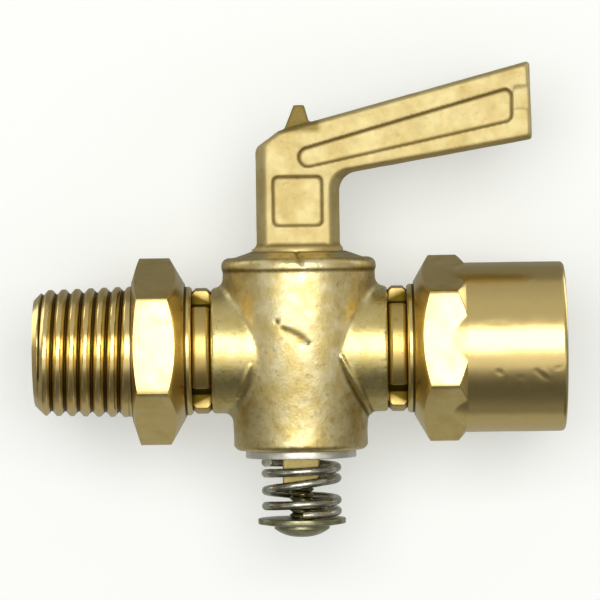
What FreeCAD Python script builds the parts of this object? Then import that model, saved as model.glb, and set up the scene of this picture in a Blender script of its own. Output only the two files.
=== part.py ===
"""Brass ground-key petcock: body, tapered plug with a one-piece lever, sprung tail and two screwed ends.

Everything is drawn about the crossing of the plug axis (Z) and the pipe axis (X), in millimetres, and
moved at the end so that the row's origin lies on the pipe axis at the shoulder of the male thread.
The lever is drawn in the open position, in line with the pipe and pointing towards the coupling.
"""
import FreeCAD, Part
import math
import os

V = FreeCAD.Vector
X_AXIS, Y_AXIS, Z_AXIS = V(1, 0, 0), V(0, 1, 0), V(0, 0, 1)
ORIGIN = V(0, 0, 0)

# Forged body: a tapered barrel with a domed rim, crossed by two round arms.
BODY_BOTTOM_Z = -10.5
BODY_TOP_Z = 10.4
BODY_OVER_ARM = 0.45
BODY_EDGE = 0.45
BODY_SWELL = 0.99
BODY_SWELL_SHARES = ((-6.8, 0.07), (-3.6, 0.42), (-0.6, 0.80), (2.4, 0.98), (5.4, 1.0))
RIM_OVERHANG = 1.1
RIM_LIP = 0.16
RIM_UNDERSIDE_Z = 8.55
RIM_SIDE_TOP_Z = 9.15
RIM_STEP = 0.2
RIM_DRAFT = 0.06
DOME_INSET = 1.25
DOME_SHOULDER_DROP = 0.75
ARM_R = 6.6
ARM_REACH = 1.1
ARM_EDGE = 0.25
ARM_BLEND = 0.9

# Ground taper seat shared by the body and the plug, and the waterway through them.
SEAT_TOP_R = 4.75
SEAT_TOP_Z = 9.1
SEAT_TAPER = 1 / 18
SEAT_CLEARANCE = 0.04
PORT_WIDTH = 4.8
PORT_HEIGHT = 6.4
WATERWAY_R = 3.05

# Threaded sockets in the arms, cut without their threads.
SOCKET_R = 5.0
SOCKET_DEPTH = 3.85
THREAD_CLEARANCE = 0.05
TAIL_END_GAP = 0.2

# Quarter-turn stop: a lug on the plug's collar travels in a pocket behind the rim.
TURN_DEG = 90.0
STOP_LUG_DEG = 20.0
STOP_REST_DEG = 135.0
STOP_END_PLAY_DEG = 1.0
STOP_R = 6.1
STOP_POCKET_DEPTH = 1.3
STOP_CLEARANCE = 0.15

# Slotted lock rings between each arm and the screwed end beside it.
RING_R = 6.6
RING_WIDTH = 2.0
RING_EDGE = 0.42
RING_NOTCHES_DEG = (30.0, 140.0, 220.0, 330.0)
RING_NOTCH_FLOOR = 1.56
RING_NOTCH_WALL_DEG = 36.0
RING_NOTCH_WEB = 0.2
LEFT_RING_TURN_DEG = 0.0
RIGHT_RING_TURN_DEG = -1.5

# Screwed ends: both have a tail, a round collar and a chamfered hexagon.
HEX_ACROSS_FLATS = 17.1
HEX_LENGTH = 5.5
HEX_INNER_CHAMFER = 1.6
HEX_NECK_STEP = 0.3
HEX_CORNER_BREAK = 0.05
MALE_HEX_TURN_DEG = 5.0
FEMALE_HEX_TURN_DEG = 7.5
COLLAR_R = 6.75
COLLAR_WIDTH = 0.75
COLLAR_EDGE = 0.22
TAIL_EDGE = 0.5

# Male end: a quarter-inch taper pipe thread, drawn as a plain bar at the mean radius of its crests.
MALE_R = 6.72
MALE_LENGTH = 10.3
MALE_TIP_CHAMFER = 0.9
MALE_SHOULDER_R = 7.5
MALE_SHOULDER_CHAMFER = 0.75

# Female end: a round barrel with a straight-drilled quarter-inch pipe socket.
BARREL_R = 8.9
BARREL_ROOT_CHAMFER = 1.2
BARREL_ROOT_IN_HEX = 0.4
BARREL_SHOULDER_STEP = 0.2
BARREL_SHOULDER_CHAMFER = 1.0
COUPLING_LENGTH = 16.5
BARREL_EDGE = 0.45
FEMALE_R = 5.6
FEMALE_DEPTH = 10.8
FEMALE_MOUTH_R = 7.0

# Plug collar and tail.
COLLAR_TOP_Z = 10.85
PLUG_COLLAR_EDGE = 0.2
PLUG_END_RECESS = 0.35
TAIL_SQUARE = 3.9
TAIL_BELOW_WASHER = 2.9

# Lever: a drafted forging in the XZ plane, its outline taken at the parting line.
LEVER_THICKNESS = 5.6
STEM_HALF_WIDTH = 4.4
STEM_DRAFT = 0.95
ARM_DRAFT = 0.3
LEVER_HEEL = (-1.9, 23.0)
LEVER_TIP_TOP = (24.5, 30.0)
LEVER_TIP_BOTTOM = (24.7, 21.75)
LEVER_ROOT_Z = 18.3
HEEL_CORNER_Z = 21.2
HEEL_R = 1.0
TIP_R = 0.35
ROOT_R = 2.0
FOOT_CORNER_R = 0.15
FACE_EDGE = 0.22
NUB_BASE_X = (-1.75, 1.8)
NUB_TOP_X = (-0.3, 0.8)
NUB_TOP_Z = 25.65
NUB_BASE_THICKNESS = 3.2
NUB_TOP_THICKNESS = 0.8

# Sunk panels on both faces of the lever.
PANEL_DEPTH = 0.5
PANEL_TOP_LEFT = (0.1, 20.95)
PANEL_TOP_RIGHT = (22.6, 27.25)
PANEL_LOW_RIGHT = (22.55, 23.6)
PANEL_LOW_LEFT = (0.1, 18.8)
PANEL_START_R = 1.05
PANEL_CORNER_R = 0.8
END_STEP_Z = (24.8, 27.3)
END_STEP_DEPTH = 0.15
BADGE_SIZE = 5.3
BADGE_CENTRE_Z = 15.55
BADGE_DEPTH = 0.35
BADGE_CORNER_R = 0.6

# Sprung tail: keyed washer, spring, spring seat and headed screw.
WASHER_R = 5.8
WASHER_THICKNESS = 0.8
KEY_CLEARANCE = 0.1
SPRING_WIRE_R = 0.45
SPRING_MEAN_R = 3.75
SPRING_LENGTH = 6.4
SPRING_TOP_TURNS = 1.7
SPRING_FREE_TURNS = 0.6
SPRING_BOTTOM_TURNS = 1.5
SPRING_CLOSED_PITCH = 1.15
SPRING_START_DEG = 200.0
SPRING_POINTS_PER_TURN = 14
SEAT_WASHER_R = 4.6
SEAT_WASHER_THICKNESS = 0.75
SEAT_WASHER_DISH = 0.2
SCREW_R = 1.3
SCREW_GRIP = 4.6
SCREW_HEAD_R = 2.9
SCREW_HEAD_HEIGHT = 1.2
SCREW_HEAD_RIM = 0.35
SCREW_HOLE_SPARE = 0.4
SCREW_SLOT_WIDTH = 0.7
SCREW_SLOT_DEPTH = 0.6

# Sizes and places that follow from the sizes above. The body's foot stands out past the arms.
BODY_BOTTOM_R = ARM_R + BODY_OVER_ARM
RIM_R = BODY_BOTTOM_R + RIM_OVERHANG
DOME_SHOULDER_R = RIM_R - DOME_INSET
ARM_LENGTH = RIM_R + ARM_REACH
WASHER_TOP_Z = BODY_BOTTOM_Z
WASHER_BOTTOM_Z = WASHER_TOP_Z - WASHER_THICKNESS
SPRING_BOTTOM_Z = WASHER_BOTTOM_Z - SPRING_LENGTH
SCREW_HEAD_TOP_Z = SPRING_BOTTOM_Z - SEAT_WASHER_THICKNESS
TAIL_END_Z = WASHER_BOTTOM_Z - TAIL_BELOW_WASHER
PLUG_END_Z = BODY_BOTTOM_Z + PLUG_END_RECESS
TAIL_X = ARM_LENGTH - SOCKET_DEPTH + TAIL_END_GAP
RING_END_X = ARM_LENGTH + RING_WIDTH
HEX_START_X = RING_END_X + COLLAR_WIDTH
HEX_END_X = HEX_START_X + HEX_LENGTH
MALE_END_X = HEX_END_X + MALE_LENGTH
COUPLING_END_X = RING_END_X + COUPLING_LENGTH
TAIL_R = SOCKET_R - THREAD_CLEARANCE
PLUG_X = HEX_END_X
LONG = 40.0


def seat_radius(z, clearance=0.0):
    """Radius of the ground taper at height z, less a running clearance."""
    return SEAT_TOP_R - (SEAT_TOP_Z - z) * SEAT_TAPER - clearance


def wire_of(points):
    """Closed wire of straight edges through the points."""
    return Part.makePolygon(points + [points[0]])


def turned_z(profile):
    """Solid turned about Z from (radius, height) points."""
    face = Part.Face(wire_of([V(r, 0, z) for r, z in profile]))
    return face.revolve(ORIGIN, Z_AXIS, 360)


def turned_x(profile):
    """Solid turned about X from (distance along X, radius) points."""
    face = Part.Face(wire_of([V(x, 0, r) for x, r in profile]))
    return face.revolve(ORIGIN, X_AXIS, 360)


def rod_x(start, end, radius):
    """Round bar along X."""
    return Part.makeCylinder(radius, end - start, V(start, 0, 0), X_AXIS)


def rod_z(bottom, top, radius):
    """Round bar along Z."""
    return Part.makeCylinder(radius, top - bottom, V(0, 0, bottom), Z_AXIS)


def slot_x(start, end, width, height):
    """Slot-shaped bar along X, with round top and bottom."""
    straight = height - width
    bar = Part.makeBox(end - start, width, straight, V(start, -width / 2, -straight / 2))
    for z in (-straight / 2, straight / 2):
        bar = bar.fuse(Part.makeCylinder(width / 2, end - start, V(start, 0, z), X_AXIS))
    return bar.removeSplitter()


def sector(inner_r, outer_r, bottom, top, start_deg, end_deg):
    """Part of a ring about Z between two angles."""
    ring = Part.makeCylinder(outer_r, top - bottom, V(0, 0, bottom), Z_AXIS, end_deg - start_deg)
    ring.rotate(ORIGIN, Z_AXIS, start_deg)
    return ring.cut(rod_z(bottom, top, inner_r))


def mirrored_x(shape):
    """The same shape on the other side of the plug axis."""
    return shape.mirror(ORIGIN, X_AXIS)


def edges_where(shape, keep):
    """Edges of a shape whose midpoint satisfies the test."""
    found = []
    for edge in shape.Edges:
        middle = edge.valueAt((edge.FirstParameter + edge.LastParameter) / 2)
        if keep(edge, middle):
            found.append(edge)
    return found


def offset_corners(corners, drafts):
    """Corners of a polygon after each side moves inwards by its own draft (counter-clockwise order)."""
    lines = []
    for (x0, z0), (x1, z1), draft in zip(corners, corners[1:] + corners[:1], drafts):
        length = math.hypot(x1 - x0, z1 - z0)
        ux, uz = (x1 - x0) / length, (z1 - z0) / length
        lines.append((x0 - uz * draft, z0 + ux * draft, ux, uz))
    moved = []
    for before, after in zip(lines[-1:] + lines[:-1], lines):
        ax, az, au, aw = before
        bx, bz, bu, bw = after
        t = ((bx - ax) * bw - (bz - az) * bu) / (au * bw - aw * bu)
        moved.append((ax + t * au, az + t * aw))
    return moved


def rounded_wire(corners, radii, y):
    """Closed wire in the plane at y through the corners, with a tangent arc at each one."""
    edges = []
    starts, ends, middles = [], [], []
    count = len(corners)
    for i, (radius, (x, z)) in enumerate(zip(radii, corners)):
        here = V(x, y, z)
        to_last = (V(corners[i - 1][0], y, corners[i - 1][1]) - here).normalize()
        to_next = (V(corners[(i + 1) % count][0], y, corners[(i + 1) % count][1]) - here).normalize()
        half = to_last.getAngle(to_next) / 2
        back = radius / math.tan(half)
        bisector = (to_last + to_next).normalize()
        centre = here + bisector * (radius / math.sin(half))
        starts.append(here + to_last * back)
        ends.append(here + to_next * back)
        middles.append(centre - bisector * radius)
    for i in range(count):
        edges.append(Part.Arc(starts[i], middles[i], ends[i]).toShape())
        edges.append(Part.LineSegment(ends[i], starts[(i + 1) % count]).toShape())
    return Part.Wire(edges)


def drafted_plate(corners, radii, drafts, half_thickness, face_edge):
    """Forged plate, widest at its parting line at y = 0, drafted to both faces and eased at their edges."""
    side_share = (half_thickness - face_edge) / half_thickness
    side = offset_corners(corners, [draft * side_share for draft in drafts])
    face = offset_corners(corners, [draft + face_edge * (draft > 0) for draft in drafts])
    sections = [
        rounded_wire(corners, radii, 0),
        rounded_wire(side, radii, face_edge - half_thickness),
        rounded_wire(face, radii, -half_thickness),
    ]
    half = Part.makeLoft(sections, True, True)
    return half.fuse(half.mirror(ORIGIN, Y_AXIS)).removeSplitter()


def body_casting():
    """Outside of the body: the swelling barrel under its domed rim, and the arms with blended roots."""
    shoulder_z = BODY_TOP_Z - DOME_SHOULDER_DROP
    foot = [
        V(0, 0, BODY_BOTTOM_Z),
        V(BODY_BOTTOM_R - BODY_EDGE, 0, BODY_BOTTOM_Z),
        V(BODY_BOTTOM_R, 0, BODY_BOTTOM_Z + BODY_EDGE),
    ]
    rim = [
        V(RIM_R - RIM_LIP, 0, RIM_UNDERSIDE_Z - RIM_STEP),
        V(RIM_R, 0, RIM_UNDERSIDE_Z),
        V(RIM_R - RIM_DRAFT, 0, RIM_SIDE_TOP_Z),
    ]
    swell = [V(BODY_BOTTOM_R + share * BODY_SWELL, 0, z) for z, share in BODY_SWELL_SHARES]
    side = Part.BSplineCurve()
    side.interpolate([foot[-1]] + swell + [rim[0]])
    round_r = RIM_R - 0.3 * (RIM_R - DOME_SHOULDER_R)
    round_middle = V(round_r, 0, RIM_SIDE_TOP_Z + 0.75 * (shoulder_z - RIM_SIDE_TOP_Z))
    shoulder = V(DOME_SHOULDER_R, 0, shoulder_z)
    edges = [Part.LineSegment(a, b).toShape() for a, b in zip(foot, foot[1:])]
    edges.append(side.toShape())
    edges += [Part.LineSegment(a, b).toShape() for a, b in zip(rim, rim[1:])]
    edges.append(Part.Arc(rim[-1], round_middle, shoulder).toShape())
    edges.append(Part.LineSegment(shoulder, V(SEAT_TOP_R, 0, BODY_TOP_Z)).toShape())
    edges.append(Part.LineSegment(V(SEAT_TOP_R, 0, BODY_TOP_Z), V(0, 0, BODY_TOP_Z)).toShape())
    edges.append(Part.LineSegment(V(0, 0, BODY_TOP_Z), foot[0]).toShape())
    barrel = Part.Face(Part.Wire(edges)).revolve(ORIGIN, Z_AXIS, 360)
    arms = rod_x(-ARM_LENGTH, ARM_LENGTH, ARM_R)
    rims = edges_where(arms, lambda e, m: abs(abs(m.x) - ARM_LENGTH) < 1e-6 and e.Length > ARM_R)
    arms = arms.makeChamfer(ARM_EDGE, rims)
    casting = barrel.fuse(arms).removeSplitter()
    roots = edges_where(casting, lambda e, m: e.Curve.TypeId == "Part::GeomBSplineCurve")
    roots = [edge for edge in roots if edge.BoundBox.ZLength > ARM_R]
    room_under_rim = RIM_UNDERSIDE_Z - RIM_STEP - ARM_R
    return casting.makeFillet(min(ARM_BLEND, 0.8 * room_under_rim), roots)


def valve_body():
    """Body with its taper seat, threaded sockets, waterway and stop pocket."""
    body = body_casting()
    seat = turned_z([
        (0, BODY_BOTTOM_Z - 1),
        (seat_radius(BODY_BOTTOM_Z - 1), BODY_BOTTOM_Z - 1),
        (SEAT_TOP_R, SEAT_TOP_Z),
        (SEAT_TOP_R, BODY_TOP_Z + 1),
        (0, BODY_TOP_Z + 1),
    ])
    body = body.cut(seat)
    socket = rod_x(ARM_LENGTH - SOCKET_DEPTH, ARM_LENGTH + 1, SOCKET_R)
    body = body.cut(socket).cut(mirrored_x(socket))
    body = body.cut(slot_x(-ARM_LENGTH, ARM_LENGTH, PORT_WIDTH, PORT_HEIGHT))
    half_lug = STOP_LUG_DEG / 2 + STOP_END_PLAY_DEG
    pocket = sector(
        SEAT_TOP_R - 0.5,
        STOP_R + STOP_CLEARANCE,
        BODY_TOP_Z - STOP_POCKET_DEPTH,
        BODY_TOP_Z + 1,
        STOP_REST_DEG - TURN_DEG - half_lug,
        STOP_REST_DEG + half_lug,
    )
    return body.cut(pocket)


def lever_corners():
    """Outline of the stem and lever at the parting line, counter-clockwise in X and Z."""
    return [
        (-STEM_HALF_WIDTH, COLLAR_TOP_Z - 1),
        (STEM_HALF_WIDTH, COLLAR_TOP_Z - 1),
        (STEM_HALF_WIDTH, LEVER_ROOT_Z),
        LEVER_TIP_BOTTOM,
        LEVER_TIP_TOP,
        LEVER_HEEL,
        (-STEM_HALF_WIDTH, HEEL_CORNER_Z),
    ]


def lever_blank():
    """Stem and lever before the panels are sunk, with softened face edges."""
    radii = [FOOT_CORNER_R, FOOT_CORNER_R, ROOT_R, TIP_R, TIP_R, HEEL_R, HEEL_R]
    drafts = [0.0, STEM_DRAFT, ARM_DRAFT, ARM_DRAFT, ARM_DRAFT, ARM_DRAFT, STEM_DRAFT]
    return drafted_plate(lever_corners(), radii, drafts, LEVER_THICKNESS / 2, FACE_EDGE)


def lever_nub():
    """Small pointed horn on top of the lever, over the plug's axis, drawn in on all four sides."""
    sections = (
        (NUB_BASE_X, NUB_BASE_THICKNESS / 2, LEVER_HEEL[1] - HEEL_R),
        (NUB_TOP_X, NUB_TOP_THICKNESS / 2, NUB_TOP_Z),
    )
    outlines = []
    for (left, right), half, z in sections:
        outlines.append(wire_of([V(left, -half, z), V(right, -half, z), V(right, half, z), V(left, half, z)]))
    return Part.makeLoft(outlines, True, True)


def end_step_cutter(side):
    """Shallow step across the end rim of the lever, for one face (side is -1 or 1)."""
    low, high = END_STEP_Z
    start_x = max(PANEL_TOP_RIGHT[0], PANEL_LOW_RIGHT[0])
    end_x = LEVER_TIP_BOTTOM[0] + 1
    near_y = side * (LEVER_THICKNESS / 2 - END_STEP_DEPTH)
    far_y = side * (LEVER_THICKNESS / 2 + 1)
    width = abs(far_y - near_y)
    return Part.makeBox(end_x - start_x, width, high - low, V(start_x, min(near_y, far_y), low))


def panel_cutter(side):
    """Tapered pocket along the lever, round at the stem end, for one face (side is -1 or 1)."""
    corners = [PANEL_LOW_LEFT, PANEL_LOW_RIGHT, PANEL_TOP_RIGHT, PANEL_TOP_LEFT]
    radii = [PANEL_START_R, PANEL_CORNER_R, PANEL_CORNER_R, PANEL_START_R]
    floor_y = LEVER_THICKNESS / 2 - PANEL_DEPTH
    wire = rounded_wire(corners, radii, side * floor_y)
    return Part.Face(wire).extrude(V(0, side * 2 * PANEL_DEPTH, 0))


def badge_cutter(side):
    """Square sunk panel low on the stem, left blank."""
    half = BADGE_SIZE / 2
    low, high = BADGE_CENTRE_Z - half, BADGE_CENTRE_Z + half
    corners = [(-half, low), (half, low), (half, high), (-half, high)]
    floor_y = LEVER_THICKNESS / 2 - BADGE_DEPTH
    wire = rounded_wire(corners, [BADGE_CORNER_R] * 4, side * floor_y)
    return Part.Face(wire).extrude(V(0, side * 2 * BADGE_DEPTH, 0))


def plug_lever():
    """One forging: ground taper plug with its port, collar, stop lug, keyed tail, stem and lever."""
    plug = turned_z([
        (0, PLUG_END_Z),
        (seat_radius(PLUG_END_Z, SEAT_CLEARANCE), PLUG_END_Z),
        (SEAT_TOP_R - SEAT_CLEARANCE, SEAT_TOP_Z),
        (SEAT_TOP_R - SEAT_CLEARANCE, COLLAR_TOP_Z - PLUG_COLLAR_EDGE),
        (SEAT_TOP_R - SEAT_CLEARANCE - PLUG_COLLAR_EDGE, COLLAR_TOP_Z),
        (0, COLLAR_TOP_Z),
    ])
    plug = plug.cut(slot_x(-SEAT_TOP_R - 1, SEAT_TOP_R + 1, PORT_WIDTH, PORT_HEIGHT))
    half_square = TAIL_SQUARE / 2
    tail = Part.makeBox(
        TAIL_SQUARE, TAIL_SQUARE, PLUG_END_Z - TAIL_END_Z + 0.5, V(-half_square, -half_square, TAIL_END_Z)
    )
    lug = sector(
        SEAT_TOP_R - 1,
        STOP_R,
        BODY_TOP_Z - STOP_POCKET_DEPTH + STOP_CLEARANCE,
        COLLAR_TOP_Z - PLUG_COLLAR_EDGE,
        STOP_REST_DEG - STOP_LUG_DEG / 2,
        STOP_REST_DEG + STOP_LUG_DEG / 2,
    )
    forging = plug.fuse([tail, lever_blank(), lever_nub(), lug]).removeSplitter()
    for side in (-1, 1):
        forging = forging.cut(panel_cutter(side)).cut(badge_cutter(side)).cut(end_step_cutter(side))
    screw_hole = rod_z(TAIL_END_Z - 1, TAIL_END_Z + SCREW_GRIP + SCREW_HOLE_SPARE, SCREW_R + THREAD_CLEARANCE)
    return forging.cut(screw_hole)


def lock_ring(turn_deg):
    """Thin ring nut with sloped wrench notches round its rim, on the coupling side of the body."""
    ring = turned_x([
        (ARM_LENGTH, SOCKET_R),
        (ARM_LENGTH, RING_R - RING_EDGE),
        (ARM_LENGTH + RING_EDGE, RING_R),
        (RING_END_X - RING_EDGE, RING_R),
        (RING_END_X, RING_R - RING_EDGE),
        (RING_END_X, SOCKET_R),
    ])
    start_x = ARM_LENGTH - 1
    floor_z = SOCKET_R + RING_NOTCH_WEB
    floor_y = RING_NOTCH_FLOOR / 2
    mouth_y = floor_y + RING_R * math.tan(math.radians(RING_NOTCH_WALL_DEG))
    corners = [
        V(start_x, floor_y, floor_z),
        V(start_x, mouth_y, floor_z + RING_R),
        V(start_x, -mouth_y, floor_z + RING_R),
        V(start_x, -floor_y, floor_z),
    ]
    notch = Part.Face(wire_of(corners)).extrude(V(RING_WIDTH + 2, 0, 0))
    for notch_deg in RING_NOTCHES_DEG:
        turned_notch = notch.copy()
        turned_notch.rotate(ORIGIN, X_AXIS, turn_deg + notch_deg)
        ring = ring.cut(turned_notch)
    return ring


def hexagon(turned, turn_deg):
    """A turned blank with six flats milled on it, the front one tilted up by turn_deg."""
    corner_r = HEX_ACROSS_FLATS / math.sqrt(3)
    corners = []
    for i in range(6):
        angle = math.radians(60 * i + turn_deg)
        corners.append(V(HEX_START_X, corner_r * math.sin(angle), corner_r * math.cos(angle)))
    return Part.Face(wire_of(corners)).extrude(V(HEX_LENGTH, 0, 0)).common(turned)


def screwed_tail():
    """What both screwed ends share: the threaded tail inside the arm, and the round collar."""
    return turned_x([
        (TAIL_X, 0),
        (TAIL_X, TAIL_R - TAIL_EDGE),
        (TAIL_X + TAIL_EDGE, TAIL_R),
        (RING_END_X, TAIL_R),
        (RING_END_X, COLLAR_R - COLLAR_EDGE),
        (RING_END_X + COLLAR_EDGE, COLLAR_R),
        (HEX_START_X, COLLAR_R),
        (HEX_START_X, 0),
    ])


def chamfered_hexagon(outer_chamfer, outer_r, turn_deg):
    """Hexagon whose corners are turned back on both sides, steeply towards the lock ring."""
    corner_r = HEX_ACROSS_FLATS / math.sqrt(3)
    flat_end_x = HEX_END_X - outer_chamfer
    blank = turned_x([
        (HEX_START_X, 0),
        (HEX_START_X, COLLAR_R + HEX_NECK_STEP),
        (HEX_START_X + HEX_INNER_CHAMFER, corner_r - HEX_CORNER_BREAK),
        (flat_end_x, corner_r - HEX_CORNER_BREAK),
        (HEX_END_X, outer_r),
        (HEX_END_X, 0),
    ])
    return hexagon(blank, turn_deg)


def male_nipple():
    """Left end: tail, collar, hexagon and taper pipe thread envelope, bored through."""
    stub = turned_x([
        (HEX_START_X, 0),
        (HEX_START_X, MALE_R),
        (MALE_END_X - MALE_TIP_CHAMFER, MALE_R),
        (MALE_END_X, MALE_R - MALE_TIP_CHAMFER),
        (MALE_END_X, 0),
    ])
    hexagon_part = chamfered_hexagon(MALE_SHOULDER_CHAMFER, MALE_SHOULDER_R, MALE_HEX_TURN_DEG)
    solid = screwed_tail().fuse([hexagon_part, stub]).removeSplitter()
    solid = solid.cut(rod_x(TAIL_X - 1, MALE_END_X + 1, WATERWAY_R))
    return mirrored_x(solid)


def female_coupling():
    """Right end: tail, collar, hexagon and round barrel with a drilled pipe socket."""
    root_x = HEX_END_X - BARREL_ROOT_IN_HEX
    barrel = turned_x([
        (root_x - BARREL_ROOT_CHAMFER, 0),
        (root_x - BARREL_ROOT_CHAMFER, BARREL_R - BARREL_ROOT_CHAMFER),
        (root_x, BARREL_R),
        (COUPLING_END_X - BARREL_EDGE, BARREL_R),
        (COUPLING_END_X, BARREL_R - BARREL_EDGE),
        (COUPLING_END_X, 0),
    ])
    shoulder_r = BARREL_R - BARREL_SHOULDER_STEP
    hexagon_part = chamfered_hexagon(BARREL_SHOULDER_CHAMFER, shoulder_r, FEMALE_HEX_TURN_DEG)
    solid = screwed_tail().fuse([hexagon_part, barrel]).removeSplitter()
    mouth_depth = FEMALE_MOUTH_R - FEMALE_R
    socket_end_x = COUPLING_END_X - FEMALE_DEPTH
    drilled = turned_x([
        (TAIL_X - 1, 0),
        (TAIL_X - 1, WATERWAY_R),
        (socket_end_x - (FEMALE_R - WATERWAY_R) / math.sqrt(3), WATERWAY_R),
        (socket_end_x, FEMALE_R),
        (COUPLING_END_X - mouth_depth, FEMALE_R),
        (COUPLING_END_X + 1, FEMALE_MOUTH_R + 1),
        (COUPLING_END_X + 1, 0),
    ])
    return solid.cut(drilled)


def keyed_washer():
    """Plated washer under the body, turned by the plug's square tail."""
    disc = rod_z(WASHER_BOTTOM_Z, WASHER_TOP_Z, WASHER_R)
    square = TAIL_SQUARE + 2 * KEY_CLEARANCE
    return disc.cut(Part.makeBox(square, square, 3, V(-square / 2, -square / 2, WASHER_BOTTOM_Z - 1)))


def spring_drop(turn):
    """How far the wire has come down after this many turns from its upper end."""
    turns = SPRING_TOP_TURNS + SPRING_FREE_TURNS + SPRING_BOTTOM_TURNS
    whole_drop = SPRING_LENGTH - 2 * SPRING_WIRE_R
    top_drop = SPRING_TOP_TURNS * SPRING_CLOSED_PITCH
    bottom_drop = SPRING_BOTTOM_TURNS * SPRING_CLOSED_PITCH
    if turn <= SPRING_TOP_TURNS:
        return turn * SPRING_CLOSED_PITCH
    if turn >= SPRING_TOP_TURNS + SPRING_FREE_TURNS:
        return whole_drop - (turns - turn) * SPRING_CLOSED_PITCH
    share = (turn - SPRING_TOP_TURNS) / SPRING_FREE_TURNS
    return top_drop + share * (whole_drop - top_drop - bottom_drop)


def spring():
    """Right-hand round-wire compression spring, close-wound at both ends and open in the middle."""
    top = WASHER_BOTTOM_Z - SPRING_WIRE_R
    turns = SPRING_TOP_TURNS + SPRING_FREE_TURNS + SPRING_BOTTOM_TURNS
    count = round(turns * SPRING_POINTS_PER_TURN)
    points = []
    for i in range(count + 1):
        turn = turns * i / count
        angle = math.radians(SPRING_START_DEG - 360 * turn)
        x, y = SPRING_MEAN_R * math.cos(angle), SPRING_MEAN_R * math.sin(angle)
        points.append(V(x, y, top - spring_drop(turn)))
    line = Part.BSplineCurve()
    line.interpolate(points)
    path = Part.Wire([line.toShape()])
    start = line.value(line.FirstParameter)
    tangent = line.tangent(line.FirstParameter)[0]
    section = Part.Wire([Part.makeCircle(SPRING_WIRE_R, start, tangent)])
    return path.makePipeShell([section], True, True)


def spring_seat():
    """Dished washer that carries the spring on the screw head."""
    hole_r = SCREW_R + KEY_CLEARANCE
    top, bottom = SPRING_BOTTOM_Z, SPRING_BOTTOM_Z - SEAT_WASHER_THICKNESS
    return turned_z([
        (hole_r, bottom),
        (SEAT_WASHER_R - 1.2, bottom),
        (SEAT_WASHER_R, bottom + SEAT_WASHER_DISH),
        (SEAT_WASHER_R, top),
        (hole_r, top),
    ])


def tail_screw():
    """Round-headed screw that holds the spring to the plug, its slot across the head's underside."""
    shank = rod_z(SCREW_HEAD_TOP_Z, TAIL_END_Z + SCREW_GRIP, SCREW_R)
    head_bottom = SCREW_HEAD_TOP_Z - SCREW_HEAD_HEIGHT
    rim_z = SCREW_HEAD_TOP_Z - SCREW_HEAD_RIM
    edges = [
        Part.LineSegment(V(0, 0, SCREW_HEAD_TOP_Z), V(SCREW_HEAD_R, 0, SCREW_HEAD_TOP_Z)).toShape(),
        Part.LineSegment(V(SCREW_HEAD_R, 0, SCREW_HEAD_TOP_Z), V(SCREW_HEAD_R, 0, rim_z)).toShape(),
        Part.Arc(
            V(SCREW_HEAD_R, 0, rim_z),
            V(SCREW_HEAD_R * 0.62, 0, head_bottom + 0.28 * (rim_z - head_bottom)),
            V(0, 0, head_bottom),
        ).toShape(),
        Part.LineSegment(V(0, 0, head_bottom), V(0, 0, SCREW_HEAD_TOP_Z)).toShape(),
    ]
    head = Part.Face(Part.Wire(edges)).revolve(ORIGIN, Z_AXIS, 360)
    slot = Part.makeBox(
        3 * SCREW_HEAD_R, SCREW_SLOT_WIDTH, SCREW_SLOT_DEPTH + 1,
        V(-1.5 * SCREW_HEAD_R, -SCREW_SLOT_WIDTH / 2, head_bottom - 1)
    )
    return shank.fuse(head).removeSplitter().cut(slot)


def main():
    """Builds every piece, moves it to the row's frame and writes one STEP each."""
    os.makedirs("parts", exist_ok=True)
    pieces = {
        "valve_body": valve_body(),
        "plug_lever": plug_lever(),
        "left_lock_ring": mirrored_x(lock_ring(LEFT_RING_TURN_DEG)),
        "right_lock_ring": lock_ring(RIGHT_RING_TURN_DEG),
        "male_nipple": male_nipple(),
        "female_coupling": female_coupling(),
        "keyed_washer": keyed_washer(),
        "spring": spring(),
        "spring_seat": spring_seat(),
        "tail_screw": tail_screw(),
    }
    for name, shape in pieces.items():
        shape.translate(V(PLUG_X, 0, 0))
        print(name, "valid", shape.isValid(), "solids", len(shape.Solids), "mm3", round(shape.Volume, 1))
        shape.exportStep(os.path.join("parts", name + ".step"))


main()
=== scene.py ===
"""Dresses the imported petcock: forged and turned brass, cut threads, a wire spring and plated steel.

All places are in the row's frame: X along the pipe, Z along the plug, with the plug's axis at PLUG_X.
Sizes are written in millimetres and turned to metres where the meshes are made.
"""
import logging
import math
from contextlib import contextmanager
from dataclasses import dataclass, field
from enum import Enum
from typing import Callable, Iterator, Sequence

import bmesh
import bpy
import numpy as np
from mathutils import Matrix, Vector, noise


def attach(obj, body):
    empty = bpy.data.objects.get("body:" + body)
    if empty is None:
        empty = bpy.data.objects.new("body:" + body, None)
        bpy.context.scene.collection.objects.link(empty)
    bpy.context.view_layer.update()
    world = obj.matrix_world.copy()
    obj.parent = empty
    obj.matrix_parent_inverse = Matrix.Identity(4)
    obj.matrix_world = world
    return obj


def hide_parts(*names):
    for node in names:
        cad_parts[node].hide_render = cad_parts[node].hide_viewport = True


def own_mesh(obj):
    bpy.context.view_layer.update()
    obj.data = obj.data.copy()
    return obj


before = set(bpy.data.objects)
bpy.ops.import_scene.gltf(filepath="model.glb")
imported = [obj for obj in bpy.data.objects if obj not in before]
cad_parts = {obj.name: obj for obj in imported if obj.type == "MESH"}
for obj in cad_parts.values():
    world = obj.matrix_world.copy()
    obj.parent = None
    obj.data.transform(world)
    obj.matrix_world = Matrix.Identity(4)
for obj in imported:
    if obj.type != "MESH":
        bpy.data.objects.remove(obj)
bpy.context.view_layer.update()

LOG = logging.getLogger("petcock")
MM = 0.001
PLUG_X = 17.5
PLUG_ORIGIN = np.array([PLUG_X, 0, 0])
# Points nearer than this, in metres, are one point.
WELD = 1e-6
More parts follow.
